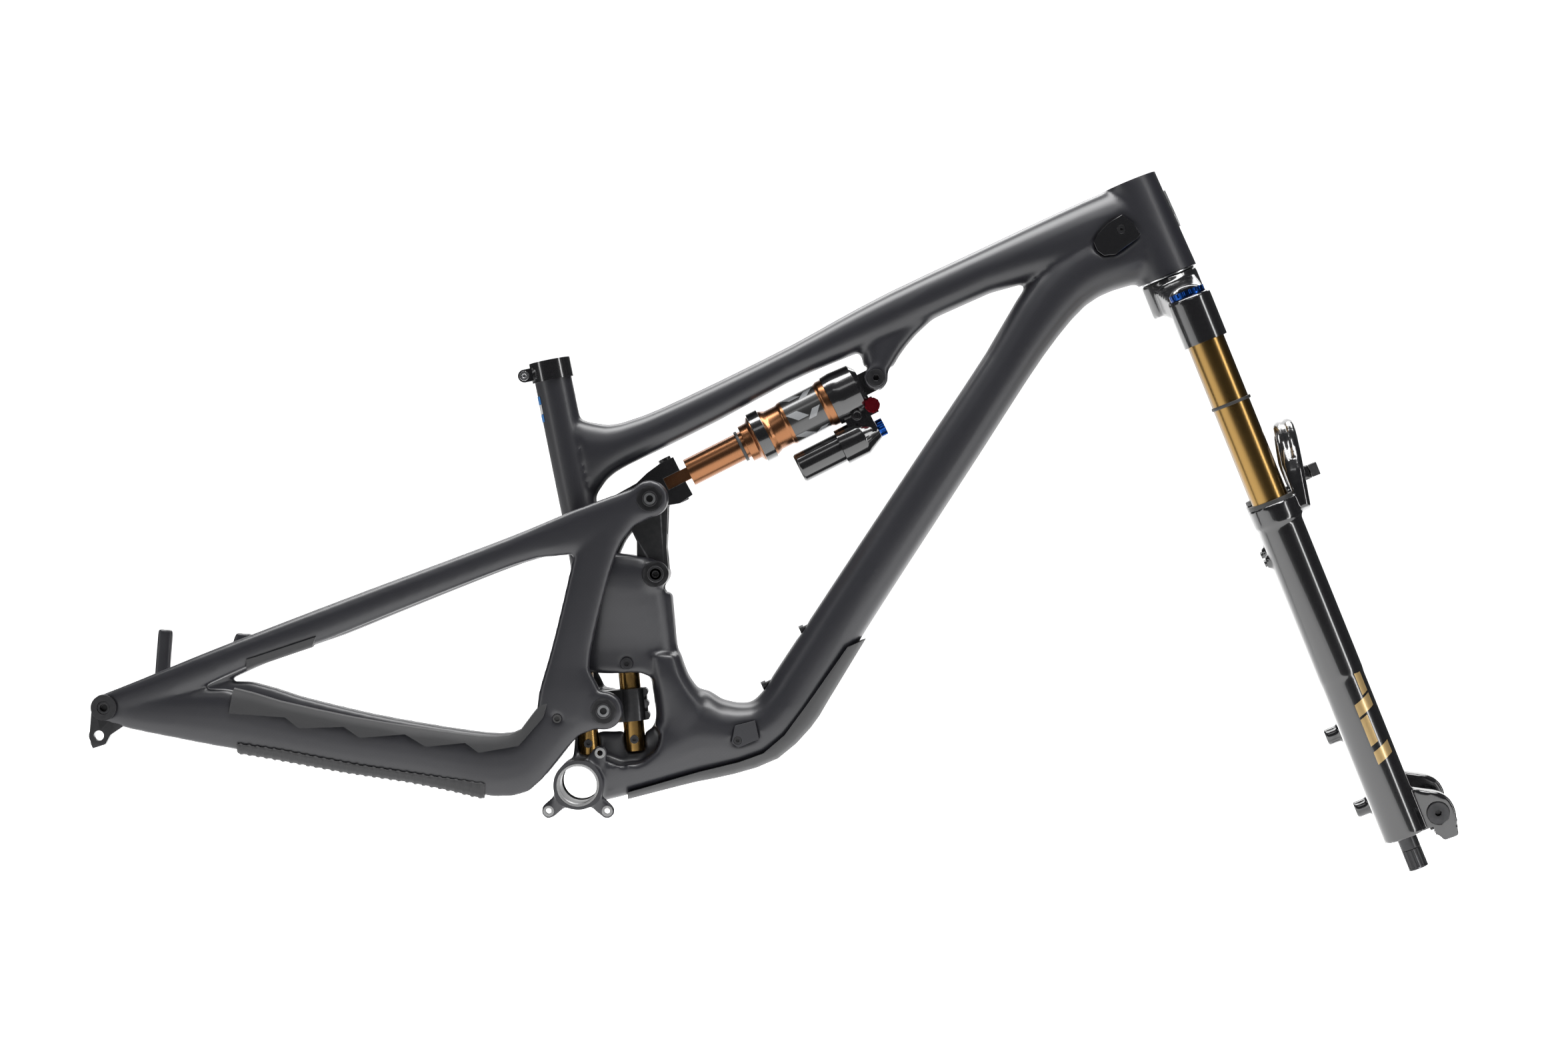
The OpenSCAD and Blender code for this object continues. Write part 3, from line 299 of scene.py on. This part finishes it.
carbon = finish_material(
    "satin_carbon", (0.007, 0.007, 0.0095), 0.38, coat=0.08, coat_roughness=0.3,
    contrast=0.1, twill=0.2, fine=1500,
)
# The anodised finishes get lighter edge colours: partly wear, partly painted edge highlights.
black_anodised = finish_material(
    "black_anodised", (0.011, 0.011, 0.012), 0.3, metal=0.5, contrast=0.1,
    wear_and_sheen=0.25, wear_and_sheen_color=(0.25, 0.25, 0.26, 1),
)
grey_anodised = finish_material(
    "grey_anodised", (0.09, 0.095, 0.1), 0.3, metal=0.9, contrast=0.08, turned=0.25, wear_and_sheen=0.3
)
gloss_black = finish_material(
    "gloss_black_paint", (0.005, 0.005, 0.0055), 0.2, coat=0.8, coat_roughness=0.07, contrast=0.04
)
gold_coat = finish_material("gold_coat", (0.22, 0.135, 0.045), 0.24, metal=1.0, contrast=0.05, turned=0.06)
bronze_coat = finish_material(
    "bronze_coat", (0.21, 0.095, 0.045), 0.28, metal=1.0, contrast=0.06, turned=0.08
)
steel = finish_material("turned_steel", (0.52, 0.52, 0.53), 0.24, metal=1.0, contrast=0.08, turned=0.3)
raw_aluminium = finish_material(
    "raw_aluminium", (0.22, 0.22, 0.22), 0.42, metal=0.95, contrast=0.25, fine=600, turned=0.4
)
guard_rubber = finish_material(
    "guard_rubber", (0.016, 0.016, 0.017), 0.62, contrast=0.18, fine=1300, bump=0.45,
    sheen=0.1, specular=0.35,
)
seal_rubber = finish_material("seal_rubber", (0.012, 0.012, 0.012), 0.5, contrast=0.1, bump=0.15)
liner = finish_material("bushing_liner", (0.28, 0.27, 0.25), 0.5, contrast=0.15, bump=0.2)
blue_anodised = finish_material(
    "blue_anodised", (0.008, 0.045, 0.2), 0.22, metal=1.0, contrast=0.08,
    wear_and_sheen=0.1, wear_and_sheen_color=(0.1, 0.2, 0.5, 1),
)
red_anodised = finish_material(
    "red_anodised", (0.42, 0.01, 0.03), 0.24, metal=1.0, contrast=0.08,
    wear_and_sheen=0.2, wear_and_sheen_color=(0.8, 0.4, 0.35, 1),
)
gold_print = finish_material("gold_print", (0.36, 0.25, 0.11), 0.3, metal=0.6, coat=0.6, contrast=0.06)
grey_print = finish_material("grey_print", (0.16, 0.165, 0.17), 0.35, coat=0.6, contrast=0.06)
white_print = finish_material("white_print", (0.5, 0.5, 0.5), 0.35, coat=0.6, contrast=0.04)
blue_print = finish_material("blue_print", (0.01, 0.12, 0.34), 0.4, coat=0.3, contrast=0.05)
dark_print = finish_material("dark_print", (0.01, 0.01, 0.01), 0.3, coat=0.6, contrast=0.05)

# ---- Making pieces ----


def merged(node):
    """A bmesh of one CAD node, with the corners of its triangles joined up."""
    shape = bmesh.new()
    shape.from_mesh(frame["nodes"][node].data)
    bmesh.ops.remove_doubles(shape, verts=shape.verts, dist=1e-6)
    return shape


def piece(name, shape, material, body, stands_for=(), sharp=32):
    """Turns a bmesh into an object that rides on its body."""
    mesh = bpy.data.meshes.new(name)
    shape.to_mesh(mesh)
    shape.free()
    mesh.shade_smooth()
    mesh.set_sharp_from_angle(angle=math.radians(sharp))
    mesh.materials.append(material)
    thing = bpy.data.objects.new(name, mesh)
    bpy.context.scene.collection.objects.link(thing)
    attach(thing, body)
    if stands_for:
        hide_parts(*stands_for)
    return thing


def stand_in(node, shape, material, sharp=32):
    return piece("shown_" + node, shape, material, body_of_node[node], (node,), sharp)


def machined(node, material, edge=0.3, angle=28, sharp=32):
    """A turned or milled piece: its CAD shape with small rounded edges."""
    shape = merged(node)
    bmesh.ops.dissolve_limit(
        shape, angle_limit=math.radians(0.4), verts=shape.verts, edges=shape.edges,
        use_dissolve_boundaries=False,
    )
    corners = [
        e for e in shape.edges if len(e.link_faces) == 2 and e.calc_face_angle(0) > math.radians(angle)
    ]
    if edge:
        bmesh.ops.bevel(
            shape, geom=corners, offset=edge * MM, offset_type="OFFSET", segments=2, profile=0.5,
            affect="EDGES", clamp_overlap=True, material=-1,
        )
    thing = stand_in(node, shape, material, sharp)
    weights = thing.modifiers.new("face_weights", "WEIGHTED_NORMAL")
    weights.keep_sharp = True
    return thing


def rod(shape, space, radius, low, high, sides=64, radius_high=None):
    """Adds a closed cylinder along the space's Z axis. Radius and heights are in millimetres."""
    top = radius if radius_high is None else radius_high
    bmesh.ops.create_cone(
        shape, cap_ends=True, segments=sides, radius1=radius * MM, radius2=top * MM,
        depth=(high - low) * MM,
        matrix=space @ Matrix.Translation((0, 0, (low + high) / 2 * MM)),
    )


def rods(list_of_rods):
    shape = bmesh.new()
    for values in list_of_rods:
        rod(shape, *values)
    return shape


def applied(thing):
    """Puts an object's modifiers into its mesh."""
    bpy.context.view_layer.update()
    graph = bpy.context.evaluated_depsgraph_get()
    mesh = bpy.data.meshes.new_from_object(thing.evaluated_get(graph))
    thing.modifiers.clear()
    old = thing.data
    thing.data = mesh
    bpy.data.meshes.remove(old)
    return thing


def scratch_object(shape):
    mesh = bpy.data.meshes.new("scratch")
    shape.to_mesh(mesh)
    shape.free()
    thing = bpy.data.objects.new("scratch", mesh)
    bpy.context.scene.collection.objects.link(thing)
    return thing


def drop(thing):
    mesh = thing.data
    bpy.data.objects.remove(thing)
    bpy.data.meshes.remove(mesh)


def bmesh_of(thing):
    shape = bmesh.new()
    shape.from_mesh(thing.data)
    drop(thing)
    return shape


def cut_away(shape, cutters):
    """Takes the cutters' volume out of a shape."""
    thing = scratch_object(shape)
    tool = scratch_object(cutters)
    boolean = thing.modifiers.new("bores", "BOOLEAN")
    boolean.operation = "DIFFERENCE"
    boolean.solver = "EXACT"
    boolean.use_self = True
    boolean.object = tool
    applied(thing)
    drop(tool)
    return bmesh_of(thing)


def soft_skin(shape, voxel, passes):
    """One smooth skin over a shape, as a mould leaves it."""
    thing = scratch_object(shape)
    skin = thing.modifiers.new("skin", "REMESH")
    skin.mode = "VOXEL"
    skin.voxel_size = voxel * MM
    skin.adaptivity = 0
    applied(thing)
    shape = bmesh_of(thing)
    for _ in range(passes):
        bmesh.ops.smooth_vert(
            shape, verts=shape.verts, factor=0.5, use_axis_x=True, use_axis_y=True, use_axis_z=True
        )
    return shape


def one_skin(shape):
    """Keeps only the largest connected skin, so no scrap of a cut is left floating."""
    unseen = set(shape.verts)
    skins = []
    while unseen:
        todo = [unseen.pop()]
        skin = []
        while todo:
            corner = todo.pop()
            skin.append(corner)
            for edge in corner.link_edges:
                other = edge.other_vert(corner)
                if other in unseen:
                    unseen.remove(other)
                    todo.append(other)
        skins.append(skin)
    skins.sort(key=len)
    for scrap in skins[:-1]:
        bmesh.ops.delete(shape, geom=scrap, context="VERTS")
    return shape


def moulded(node, material, voxel, passes, plugs=(), bores=(), sculpt=None, sharp=40):
    """A moulded or cast piece. Plugs fill its bores while the skin is made; then the bores are cut."""
    shape = merged(node)
    for values in plugs:
        rod(shape, *values)
    shape = soft_skin(shape, voxel * (1), passes)
    if sculpt:
        sculpt(shape)
    if bores:
        shape = one_skin(cut_away(shape, rods(bores)))
    return stand_in(node, shape, material, sharp)


def lathe(outline, space, sides=96):
    """A turned solid from a closed outline of radius and height pairs, in millimetres."""
    shape = bmesh.new()
    corners = [shape.verts.new((radius * MM, 0, height * MM)) for radius, height in outline]
    edges = [shape.edges.new((a, b)) for a, b in zip(corners, corners[1:] + corners[:1])]
    bmesh.ops.spin(
        shape, geom=corners + edges, cent=(0, 0, 0), axis=(0, 0, 1), angle=math.tau, steps=sides,
        use_merge=True,
    )
    bmesh.ops.remove_doubles(shape, verts=shape.verts, dist=1e-6)
    bmesh.ops.recalc_face_normals(shape, faces=shape.faces)
    bmesh.ops.transform(shape, matrix=space, verts=shape.verts)
    return shape


def wrap(name, space, radius, low, high, start, end, material, body, slant=0.0, thick=0.1, steps=20):
    """A print or label that lies round a cylinder: heights in millimetres, angles in degrees."""
    shape = bmesh.new()
    corners = [shape.verts.new((radius * MM, 0, height * MM)) for height in (low, high)]
    edge = shape.edges.new(corners)
    turn = Matrix.Rotation(math.radians(start), 4, "Z")
    bmesh.ops.transform(shape, matrix=turn, verts=corners)
    bmesh.ops.spin(
        shape, geom=corners + [edge], cent=(0, 0, 0), axis=(0, 0, 1),
        angle=math.radians(end - start), steps=steps,
    )
    for corner in shape.verts:
        angle = math.degrees(math.atan2(corner.co.y, corner.co.x)) - (start + end) / 2
        corner.co.z += slant * MM * ((angle + 180) % 360 - 180) / 90
    bmesh.ops.recalc_face_normals(shape, faces=shape.faces)
    first = shape.faces[:][0]
    if first.normal.dot(first.calc_center_median() * Vector((1, 1, 0))) < 0:
        bmesh.ops.reverse_faces(shape, faces=shape.faces)
    bmesh.ops.solidify(shape, geom=shape.faces, thickness=-thick * MM)
    bmesh.ops.recalc_face_normals(shape, faces=shape.faces)
    bmesh.ops.transform(shape, matrix=space, verts=shape.verts)
    return piece(name, shape, material, body)


def side_space(point):
    """Z runs along the row's +Y through a point of the side view."""
    return Matrix.Translation((point[0], 0, point[2])) @ Matrix.Rotation(math.radians(-90), 4, "X")


SHELL = side_space((0, 0, 0))
LINK = side_space(link_pivot)
MAIN = side_space(main_pivot)
axle_low, axle_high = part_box("rear_axle")
REAR_AXLE = side_space((axle_low + axle_high) / 2)
cap_low, cap_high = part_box("upper_pivot_pins")
ARM = side_space((cap_low + cap_high) / 2)
axle_turn = Matrix.Rotation(math.radians(-90), 4, "X")
FRONT_AXLE = fork_space @ Matrix.Translation((AXLE_X, 0, AXLE_Z)) @ axle_turn
CAN = place(shock_rear, shock_up, shock_along)
RESERVOIR = place(shock_rear - shock_up * RESERVOIR_DROP, shock_up, shock_along)

# ---- Front triangle ----

GUIDE_R = 36
GUIDE_TABS = [
    side_space((GUIDE_R * MM * math.cos(math.radians(a)), 0, GUIDE_R * MM * math.sin(math.radians(a))))
    for a in (60, -37, 226)
]


def both_ways(space, radius, inner, outer):
    return [(space, radius, inner, outer), (space, radius, -outer, -inner)]


SEATPOST_R = 15.8
HEAD_TALL = 94
SLEEVE_R = 20
SHELL_HALF = 36.5
BEARING_R = 12

moulded(
    "front_triangle", carbon, 2.2, 7,
    plugs=[
        (seat_space, 17.5, -178, 4), (head_space, 28.65, -4, HEAD_TALL + 4, 96, 24.85),
        (SHELL, 23, -40, 40),
        *both_ways(LINK, 12.6, 22.8, 34), *[(tab, 5.2, -34, -28) for tab in GUIDE_TABS],
    ],
    bores=[
        (seat_space, SEATPOST_R, -180, 10), (seat_space, 24, 0, 14),
        (head_space, 26, -8, 8.5), (head_space, 20.5, -6, 104), (head_space, 21, 85.5, 106),
        (head_space, 31, HEAD_TALL, 108), (head_space, 36, -9, 0),
        (SHELL, SLEEVE_R, -60, 60), *both_ways(SHELL, 27, SHELL_HALF, 46),
        *both_ways(LINK, BEARING_R, 21.5, 29.6), (LINK, 7.5, -61, 61), *both_ways(LINK, 12.5, 32.5, 46),
        *[(tab, 5, -36, -26) for tab in GUIDE_TABS],
    ],
)


def thread_outline(half_width, root, crest, outer, pitch=1.05, turns=14):
    """A sleeve's section: threads at both ends, plain in the middle."""
    left = []
    for turn in range(turns):
        left += [(crest, half_width - (turn + 0.15) * pitch), (root, half_width - (turn + 0.65) * pitch)]
    ends = [(root + 0.7, half_width), *left, (root, half_width - (turns + 1) * pitch)]
    mirrored = [(radius, -height) for radius, height in reversed(ends)]
    chamfers = [
        (outer - 0.4, -half_width), (outer, -half_width + 0.4), (outer, half_width - 0.4),
        (outer - 0.4, half_width),
    ]
    return ends + mirrored + chamfers


sleeve_outline = thread_outline(SHELL_HALF, root=18.05, crest=17.4, outer=SLEEVE_R)
stand_in("bb_threaded_sleeve", lathe(sleeve_outline, SHELL, 128), raw_aluminium)

for node, material, edge in (
    ("iscg_inserts", raw_aluminium, 0.3), ("seat_clamp", gloss_black, 0.8),
    ("seat_clamp_bolt", steel, 0.3), ("upper_headset_bearing", steel, 0.4),
    ("lower_headset_bearing", steel, 0.4), ("slide_rails", gold_coat, 0.2),
    ("rail_bolts", black_anodised, 0.4), ("link_pivot_axle", black_anodised, 0.4),
    ("link_pivot_bearings", steel, 0.2), ("shock_mount_bolt", black_anodised, 0.5),
    ("cable_port_covers", gloss_black, 0.9), ("cover_screws", black_anodised, 0.2),
    ("access_cover", carbon, 0.9), ("down_tube_guard", guard_rubber, 0.6),
    ("bottle_bolts", black_anodised, 0.3), ("head_badge", raw_aluminium, 0.3),
    ("slide_carrier", black_anodised, 0.6), ("carrier_bushings", liner, 0.2),
    ("main_pivot_axle", steel, 0.4), ("swingarm_bearings", steel, 0.2),
    ("upper_pivot_pins", steel, 0.3), ("pivot_caps", black_anodised, 0.35),
    ("derailleur_hanger", black_anodised, 0.6), ("rear_axle", black_anodised, 0.6),
    ("chainstay_guard", guard_rubber, 0.5), ("seatstay_guard", guard_rubber, 0.4),
    ("cable_grommets", seal_rubber, 0.3), ("rocker_link", black_anodised, 1.1),
    ("yoke_pivot_pin", steel, 0.4), ("shock_head", gloss_black, 0.7), ("air_can", bronze_coat, 0.35),
    ("air_can_band", gloss_black, 0.6), ("shock_reservoir", gloss_black, 0.5),
    ("air_valve_cap", gloss_black, 0.5), ("shock_mount_bushing", steel, 0.3),
    ("shock_shaft", bronze_coat, 0.35), ("shock_yoke", gloss_black, 1.3),
    ("yoke_bolt", black_anodised, 0.4), ("shock_travel_ring", seal_rubber, 0.6),
    ("shock_rebound_knob", red_anodised, 0.3), ("shock_compression_knob", blue_anodised, 0.3),
    ("crown_race", steel, 0.3), ("stanchions", gold_coat, 0.3), ("fork_air_cap", black_anodised, 0.5),
    ("fork_travel_ring", seal_rubber, 0.7), ("fork_compression_knob", blue_anodised, 0.4),
    ("wiper_seals", seal_rubber, 0.7), ("front_axle", black_anodised, 0.5),
    ("axle_pinch_bolts", steel, 0.2), ("damper_foot", black_anodised, 0.5),
    ("hose_guide", black_anodised, 0.6), ("bleeder_right", gloss_black, 0.5),
    ("bleeder_left", gloss_black, 0.5), ("fork_rebound_knob", black_anodised, 0.4),
):
    machined(node, material, edge)

RING_THICK = 0.6
for name, space, inner, outer, height, body in (
    ("cap_ring_main", MAIN, 3.2, 5.4, 50.9, "swingarm"), ("cap_ring_arm", ARM, 3.2, 5.4, 50.9, "swingarm"),
    ("axle_ring_link", LINK, 3.3, 5.2, 35.5, "front_triangle"),
):
    for side, side_name in ((-1, "right"), (1, "left")):
        foot, face = side * (height - RING_THICK), side * height
        outline = [(inner, foot), (outer, foot), (outer, face), (inner, face)]
        piece(f"{name}_{side_name}", lathe(outline, space, 64), grey_anodised, body)

# ---- Swingarm ----

HANGER_COLLAR_R = 8.5
moulded(
    "swingarm", carbon, 1.9, 6,
    plugs=[*both_ways(MAIN, 12.6, 26, 49), *both_ways(ARM, 12.6, 23, 49)],
    bores=[
        *both_ways(MAIN, BEARING_R, 35, 60), (MAIN, 7.7, -61, 61),
        *both_ways(ARM, BEARING_R, 35, 60), (ARM, 7, -61, 61),
        (REAR_AXLE, 6, -120, 120), (REAR_AXLE, HANGER_COLLAR_R, -87, -74),
    ],
)


def ribbed(node, material, pitch=7.5, height=0.9):
    """A rubber skin with ribs across it."""
    shape = soft_skin(merged(node), 1.0, 2)
    for corner in shape.verts:
        wave = math.sin(math.tau * corner.co.x / (pitch * MM))
        corner.co += corner.normal * height * MM * max(0.0, wave) ** 0.6
    return stand_in(node, shape, material, 60)


ribbed("lower_stay_guard", guard_rubber)

# ---- Fork ----

CROWN_TOP = 27
CROWN_LOW = 70.5
LOWERS_TOP = 226.7
LOWERS_LOW = 557
STANCHION_R = 17
legs = [leg_space(side) for side in (-1, 1)]
right_leg, left_leg = legs
moulded(
    "crown_steerer", gloss_black, 1.4, 9,
    plugs=[
        *[(leg, 17.4, -CROWN_LOW - 4, -CROWN_TOP) for leg in legs],
        *[(leg, 20.5, -CROWN_LOW - 4, -44) for leg in legs],
        (fork_space, 12.6, -33, 95), (fork_space, 14.3, 60, 96),
    ],
    bores=[
        *[(leg, STANCHION_R, -CROWN_LOW - 8, -1) for leg in legs],
        *[(leg, 27, -CROWN_LOW - 9, -CROWN_LOW) for leg in legs],
        (fork_space, 11.5, -60, 120), (fork_space, 20, 92, 110),
    ],
)
ARCH_LOW = -246
ARCH_RISE = 74
ARCH_FRONT = 31.5
ARCH_SWING = 15
GROOVE_HALF = 3.2
GROOVE_DEEP = 1.5
back_to_fork = fork_space.inverted()


def groove_arch(shape):
    """Parts the arch into two ribs with a groove between them."""
    turn = back_to_fork.to_3x3()
    moves = []
    for corner in shape.verts:
        spot = back_to_fork @ corner.co / MM
        if not (ARCH_LOW < spot.z < ARCH_LOW + ARCH_RISE + 12 and abs(spot.y) < 66):
            continue
        rise = max(0.0, min(1.0, (spot.z - ARCH_LOW) / ARCH_RISE))
        off = abs(spot.x - (ARCH_FRONT + ARCH_SWING * rise)) / GROOVE_HALF
        facing = turn @ corner.normal
        if off < 1 and abs(facing.x) < 0.6:
            moves.append((corner, corner.normal * GROOVE_DEEP * MM * (1 - off * off)))
    for corner, move in moves:
        corner.co -= move


moulded(
    "fork_lowers", gloss_black, 1.45, 5,
    plugs=[(leg, 21, -400, -LOWERS_TOP - 3.2) for leg in legs] + [(leg, 17.3, -555, -399) for leg in legs],
    bores=[
        *[(leg, 17.05, -550, -LOWERS_TOP + 14) for leg in legs],
        *[(leg, 21.6, -LOWERS_TOP - 5, -LOWERS_TOP + 85) for leg in legs],
        *[(leg, 27, -LOWERS_LOW - 8, -LOWERS_LOW) for leg in legs],
        *[(leg, 6, -LOWERS_LOW - 2, -LOWERS_LOW + 19) for leg in legs],
        (FRONT_AXLE, 7.5, -120, 120),
    ],
    sculpt=groove_arch,
)

# ---- Prints: plain blocks and bars, with no lettering ----

PRINT_R = LEG_R / MM + 0.05
for leg, side, face in ((right_leg, "right", -62), (left_leg, "left", 62)):
    for number, (low, high, start, end, slant) in enumerate((
        (-482, -470, -26, 26, 10), (-466, -440, -26, -4, 10), (-436, -424, -26, 26, 10),
        (-420, -396, 4, 26, 10), (-392, -380, -26, 26, 10),
    )):
        wrap(
            f"leg_block_{side}_{number}", leg, PRINT_R, low, high, face + start, face + end, gold_print,
            "fork_lowers", slant=slant,
        )
    for name, low, high in (("bar", -312, -284), ("dash", -276, -268)):
        wrap(
            f"leg_{name}_{side}", leg, PRINT_R, low, high, face * 0.55 - 9, face * 0.55 + 9, gold_print,
            "fork_lowers", slant=8,
        )

CAN_R = 21.05
RESERVOIR_R = 14.25
wrap("can_label", CAN, CAN_R, 119, 153, -180, 180, dark_print, "shock_body", steps=72)
for number in range(6):
    face = -90 + 60 * number
    wrap(
        f"can_shard_{number}", CAN, CAN_R + 0.1, 123, 134, face - 16, face + 8, grey_print,
        "shock_body", slant=34,
    )
    wrap(
        f"can_fleck_{number}", CAN, CAN_R + 0.1, 140, 148, face - 4, face + 18, grey_print,
        "shock_body", slant=-30,
    )
for number, (low, high, start, end) in enumerate((
    (118, 122, -122, -72), (125, 131, -122, -100), (134, 140, -122, -72), (142, 146, -104, -72),
)):
    wrap(
        f"reservoir_block_{number}", RESERVOIR, RESERVOIR_R, low, high, start, end, gold_print,
        "shock_body", slant=2,
    )
wrap("reservoir_dash", RESERVOIR, RESERVOIR_R, 119, 145, -64, -54, white_print, "shock_body", slant=1)

SEAT_TUBE_R = 17.52
for number, (low, high, material) in enumerate((
    (-54, -47, blue_print), (-46.5, -38, white_print), (-37.5, -30, blue_print),
)):
    wrap(
        f"seat_sticker_{number}", seat_space, SEAT_TUBE_R, low, high, 172, 212, material,
        "front_triangle",
    )

# ---- Floor, light and camera ----

VIEW_ROLL = math.radians(4.5)
view_right = Vector((math.cos(VIEW_ROLL), 0, math.sin(VIEW_ROLL)))
view_up = Vector((-math.sin(VIEW_ROLL), 0, math.cos(VIEW_ROLL)))
view_back = Vector((0, -1, 0))


def studio(right, back, up):
    """A studio point: how far right, towards the camera and up it is from the crank axis."""
    return view_right * right + view_back * back + view_up * up


FLOOR_DROP = -0.079
FLOOR_FRONT = 1.25
FLOOR_DEEP = 3.75
FLOOR_ENDS = (-1.7, 2.1)
SWEEP_R = 2


def sweep():
    """A pale floor that curves up into the backdrop."""
    shape = bmesh.new()
    corners = [shape.verts.new(studio(x, FLOOR_FRONT, FLOOR_DROP)) for x in FLOOR_ENDS]
    edge = shape.edges.new(corners)
    grown = bmesh.ops.extrude_edge_only(shape, edges=[edge])
    line = [e for e in grown["geom"] if isinstance(e, bmesh.types.BMEdge)]
    ends = [v for v in grown["geom"] if isinstance(v, bmesh.types.BMVert)]
    for corner in ends:
        corner.co -= view_back * FLOOR_DEEP
    hinge = studio(0, FLOOR_FRONT - FLOOR_DEEP, FLOOR_DROP + SWEEP_R)
    bent = bmesh.ops.spin(
        shape, geom=ends + line, cent=hinge, axis=view_right, angle=math.radians(90), steps=32
    )
    top = [v for v in bent["geom_last"] if isinstance(v, bmesh.types.BMVert)]
    edge = [e for e in bent["geom_last"] if isinstance(e, bmesh.types.BMEdge)]
    risen = bmesh.ops.extrude_edge_only(shape, edges=edge)
    for corner in risen["geom"]:
        if isinstance(corner, bmesh.types.BMVert):
            corner.co += view_up * 3
    mesh = bpy.data.meshes.new("studio_floor")
    shape.to_mesh(mesh)
    shape.free()
    mesh.shade_smooth()
    floor = bpy.data.objects.new("studio_floor", mesh)
    bpy.context.scene.collection.objects.link(floor)
    paper = bpy.data.materials.new("studio_paper")
    paper.use_nodes = True
    paint = paper.node_tree.nodes["Principled BSDF"]
    paint.inputs["Base Color"].default_value = (0.8, 0.8, 0.8, 1)
    paint.inputs["Roughness"].default_value = 0.9
    paint.inputs["Specular IOR Level"].default_value = 0.1
    paint.inputs["Emission Color"].default_value = (1, 1, 1, 1)
    paint.inputs["Emission Strength"].default_value = 0.8
    mesh.materials.append(paper)


def softbox(name, spot, aim, width, height, watts, color=(1, 1, 1)):
    light = bpy.data.lights.new(name, "AREA")
    light.shape = "RECTANGLE"
    light.size = width
    light.size_y = height
    light.energy = watts
    light.color = color
    lamp = bpy.data.objects.new(name, light)
    bpy.context.scene.collection.objects.link(lamp)
    lamp.location = spot
    lamp.rotation_euler = (aim - spot).to_track_quat("-Z", "Y").to_euler()


sweep()
middle = studio(0.19, 0, 0.25)
softbox("top_box", studio(0.1, 0.45, 1.9), middle, 2.8, 0.8, 100)
softbox("left_box", studio(-2.0, 1.2, 0.6), middle, 0.35, 1.6, 9)
softbox("right_box", studio(2.3, 1.5, 0.5), middle, 0.3, 2.4, 24)
softbox("front_fill", studio(-0.4, 3.6, 2.6), middle, 2.0, 0.6, 10)
softbox("back_rim", studio(0.2, -1.3, 1.6), middle, 2.6, 0.5, 30)
world = bpy.data.worlds.new("studio_air")
world.use_nodes = True
world.node_tree.nodes["Background"].inputs["Color"].default_value = (0.95, 0.97, 1.0, 1)
world.node_tree.nodes["Background"].inputs["Strength"].default_value = 0.06
bpy.context.scene.world = world
bpy.context.scene.view_settings.view_transform = "Standard"

CAMERA_SPOT = (0.1703, -3.2, 0.2562)
eye = bpy.data.cameras.new("camera")
eye.sensor_width = 36
eye.lens = 78.9
eye.clip_end = 60
camera = bpy.data.objects.new("camera", eye)
bpy.context.scene.collection.objects.link(camera)
view_turn = Matrix((view_right, view_up, view_back)).transposed().to_4x4()
camera.matrix_world = Matrix.Translation(CAMERA_SPOT) @ view_turn
bpy.context.scene.camera = camera
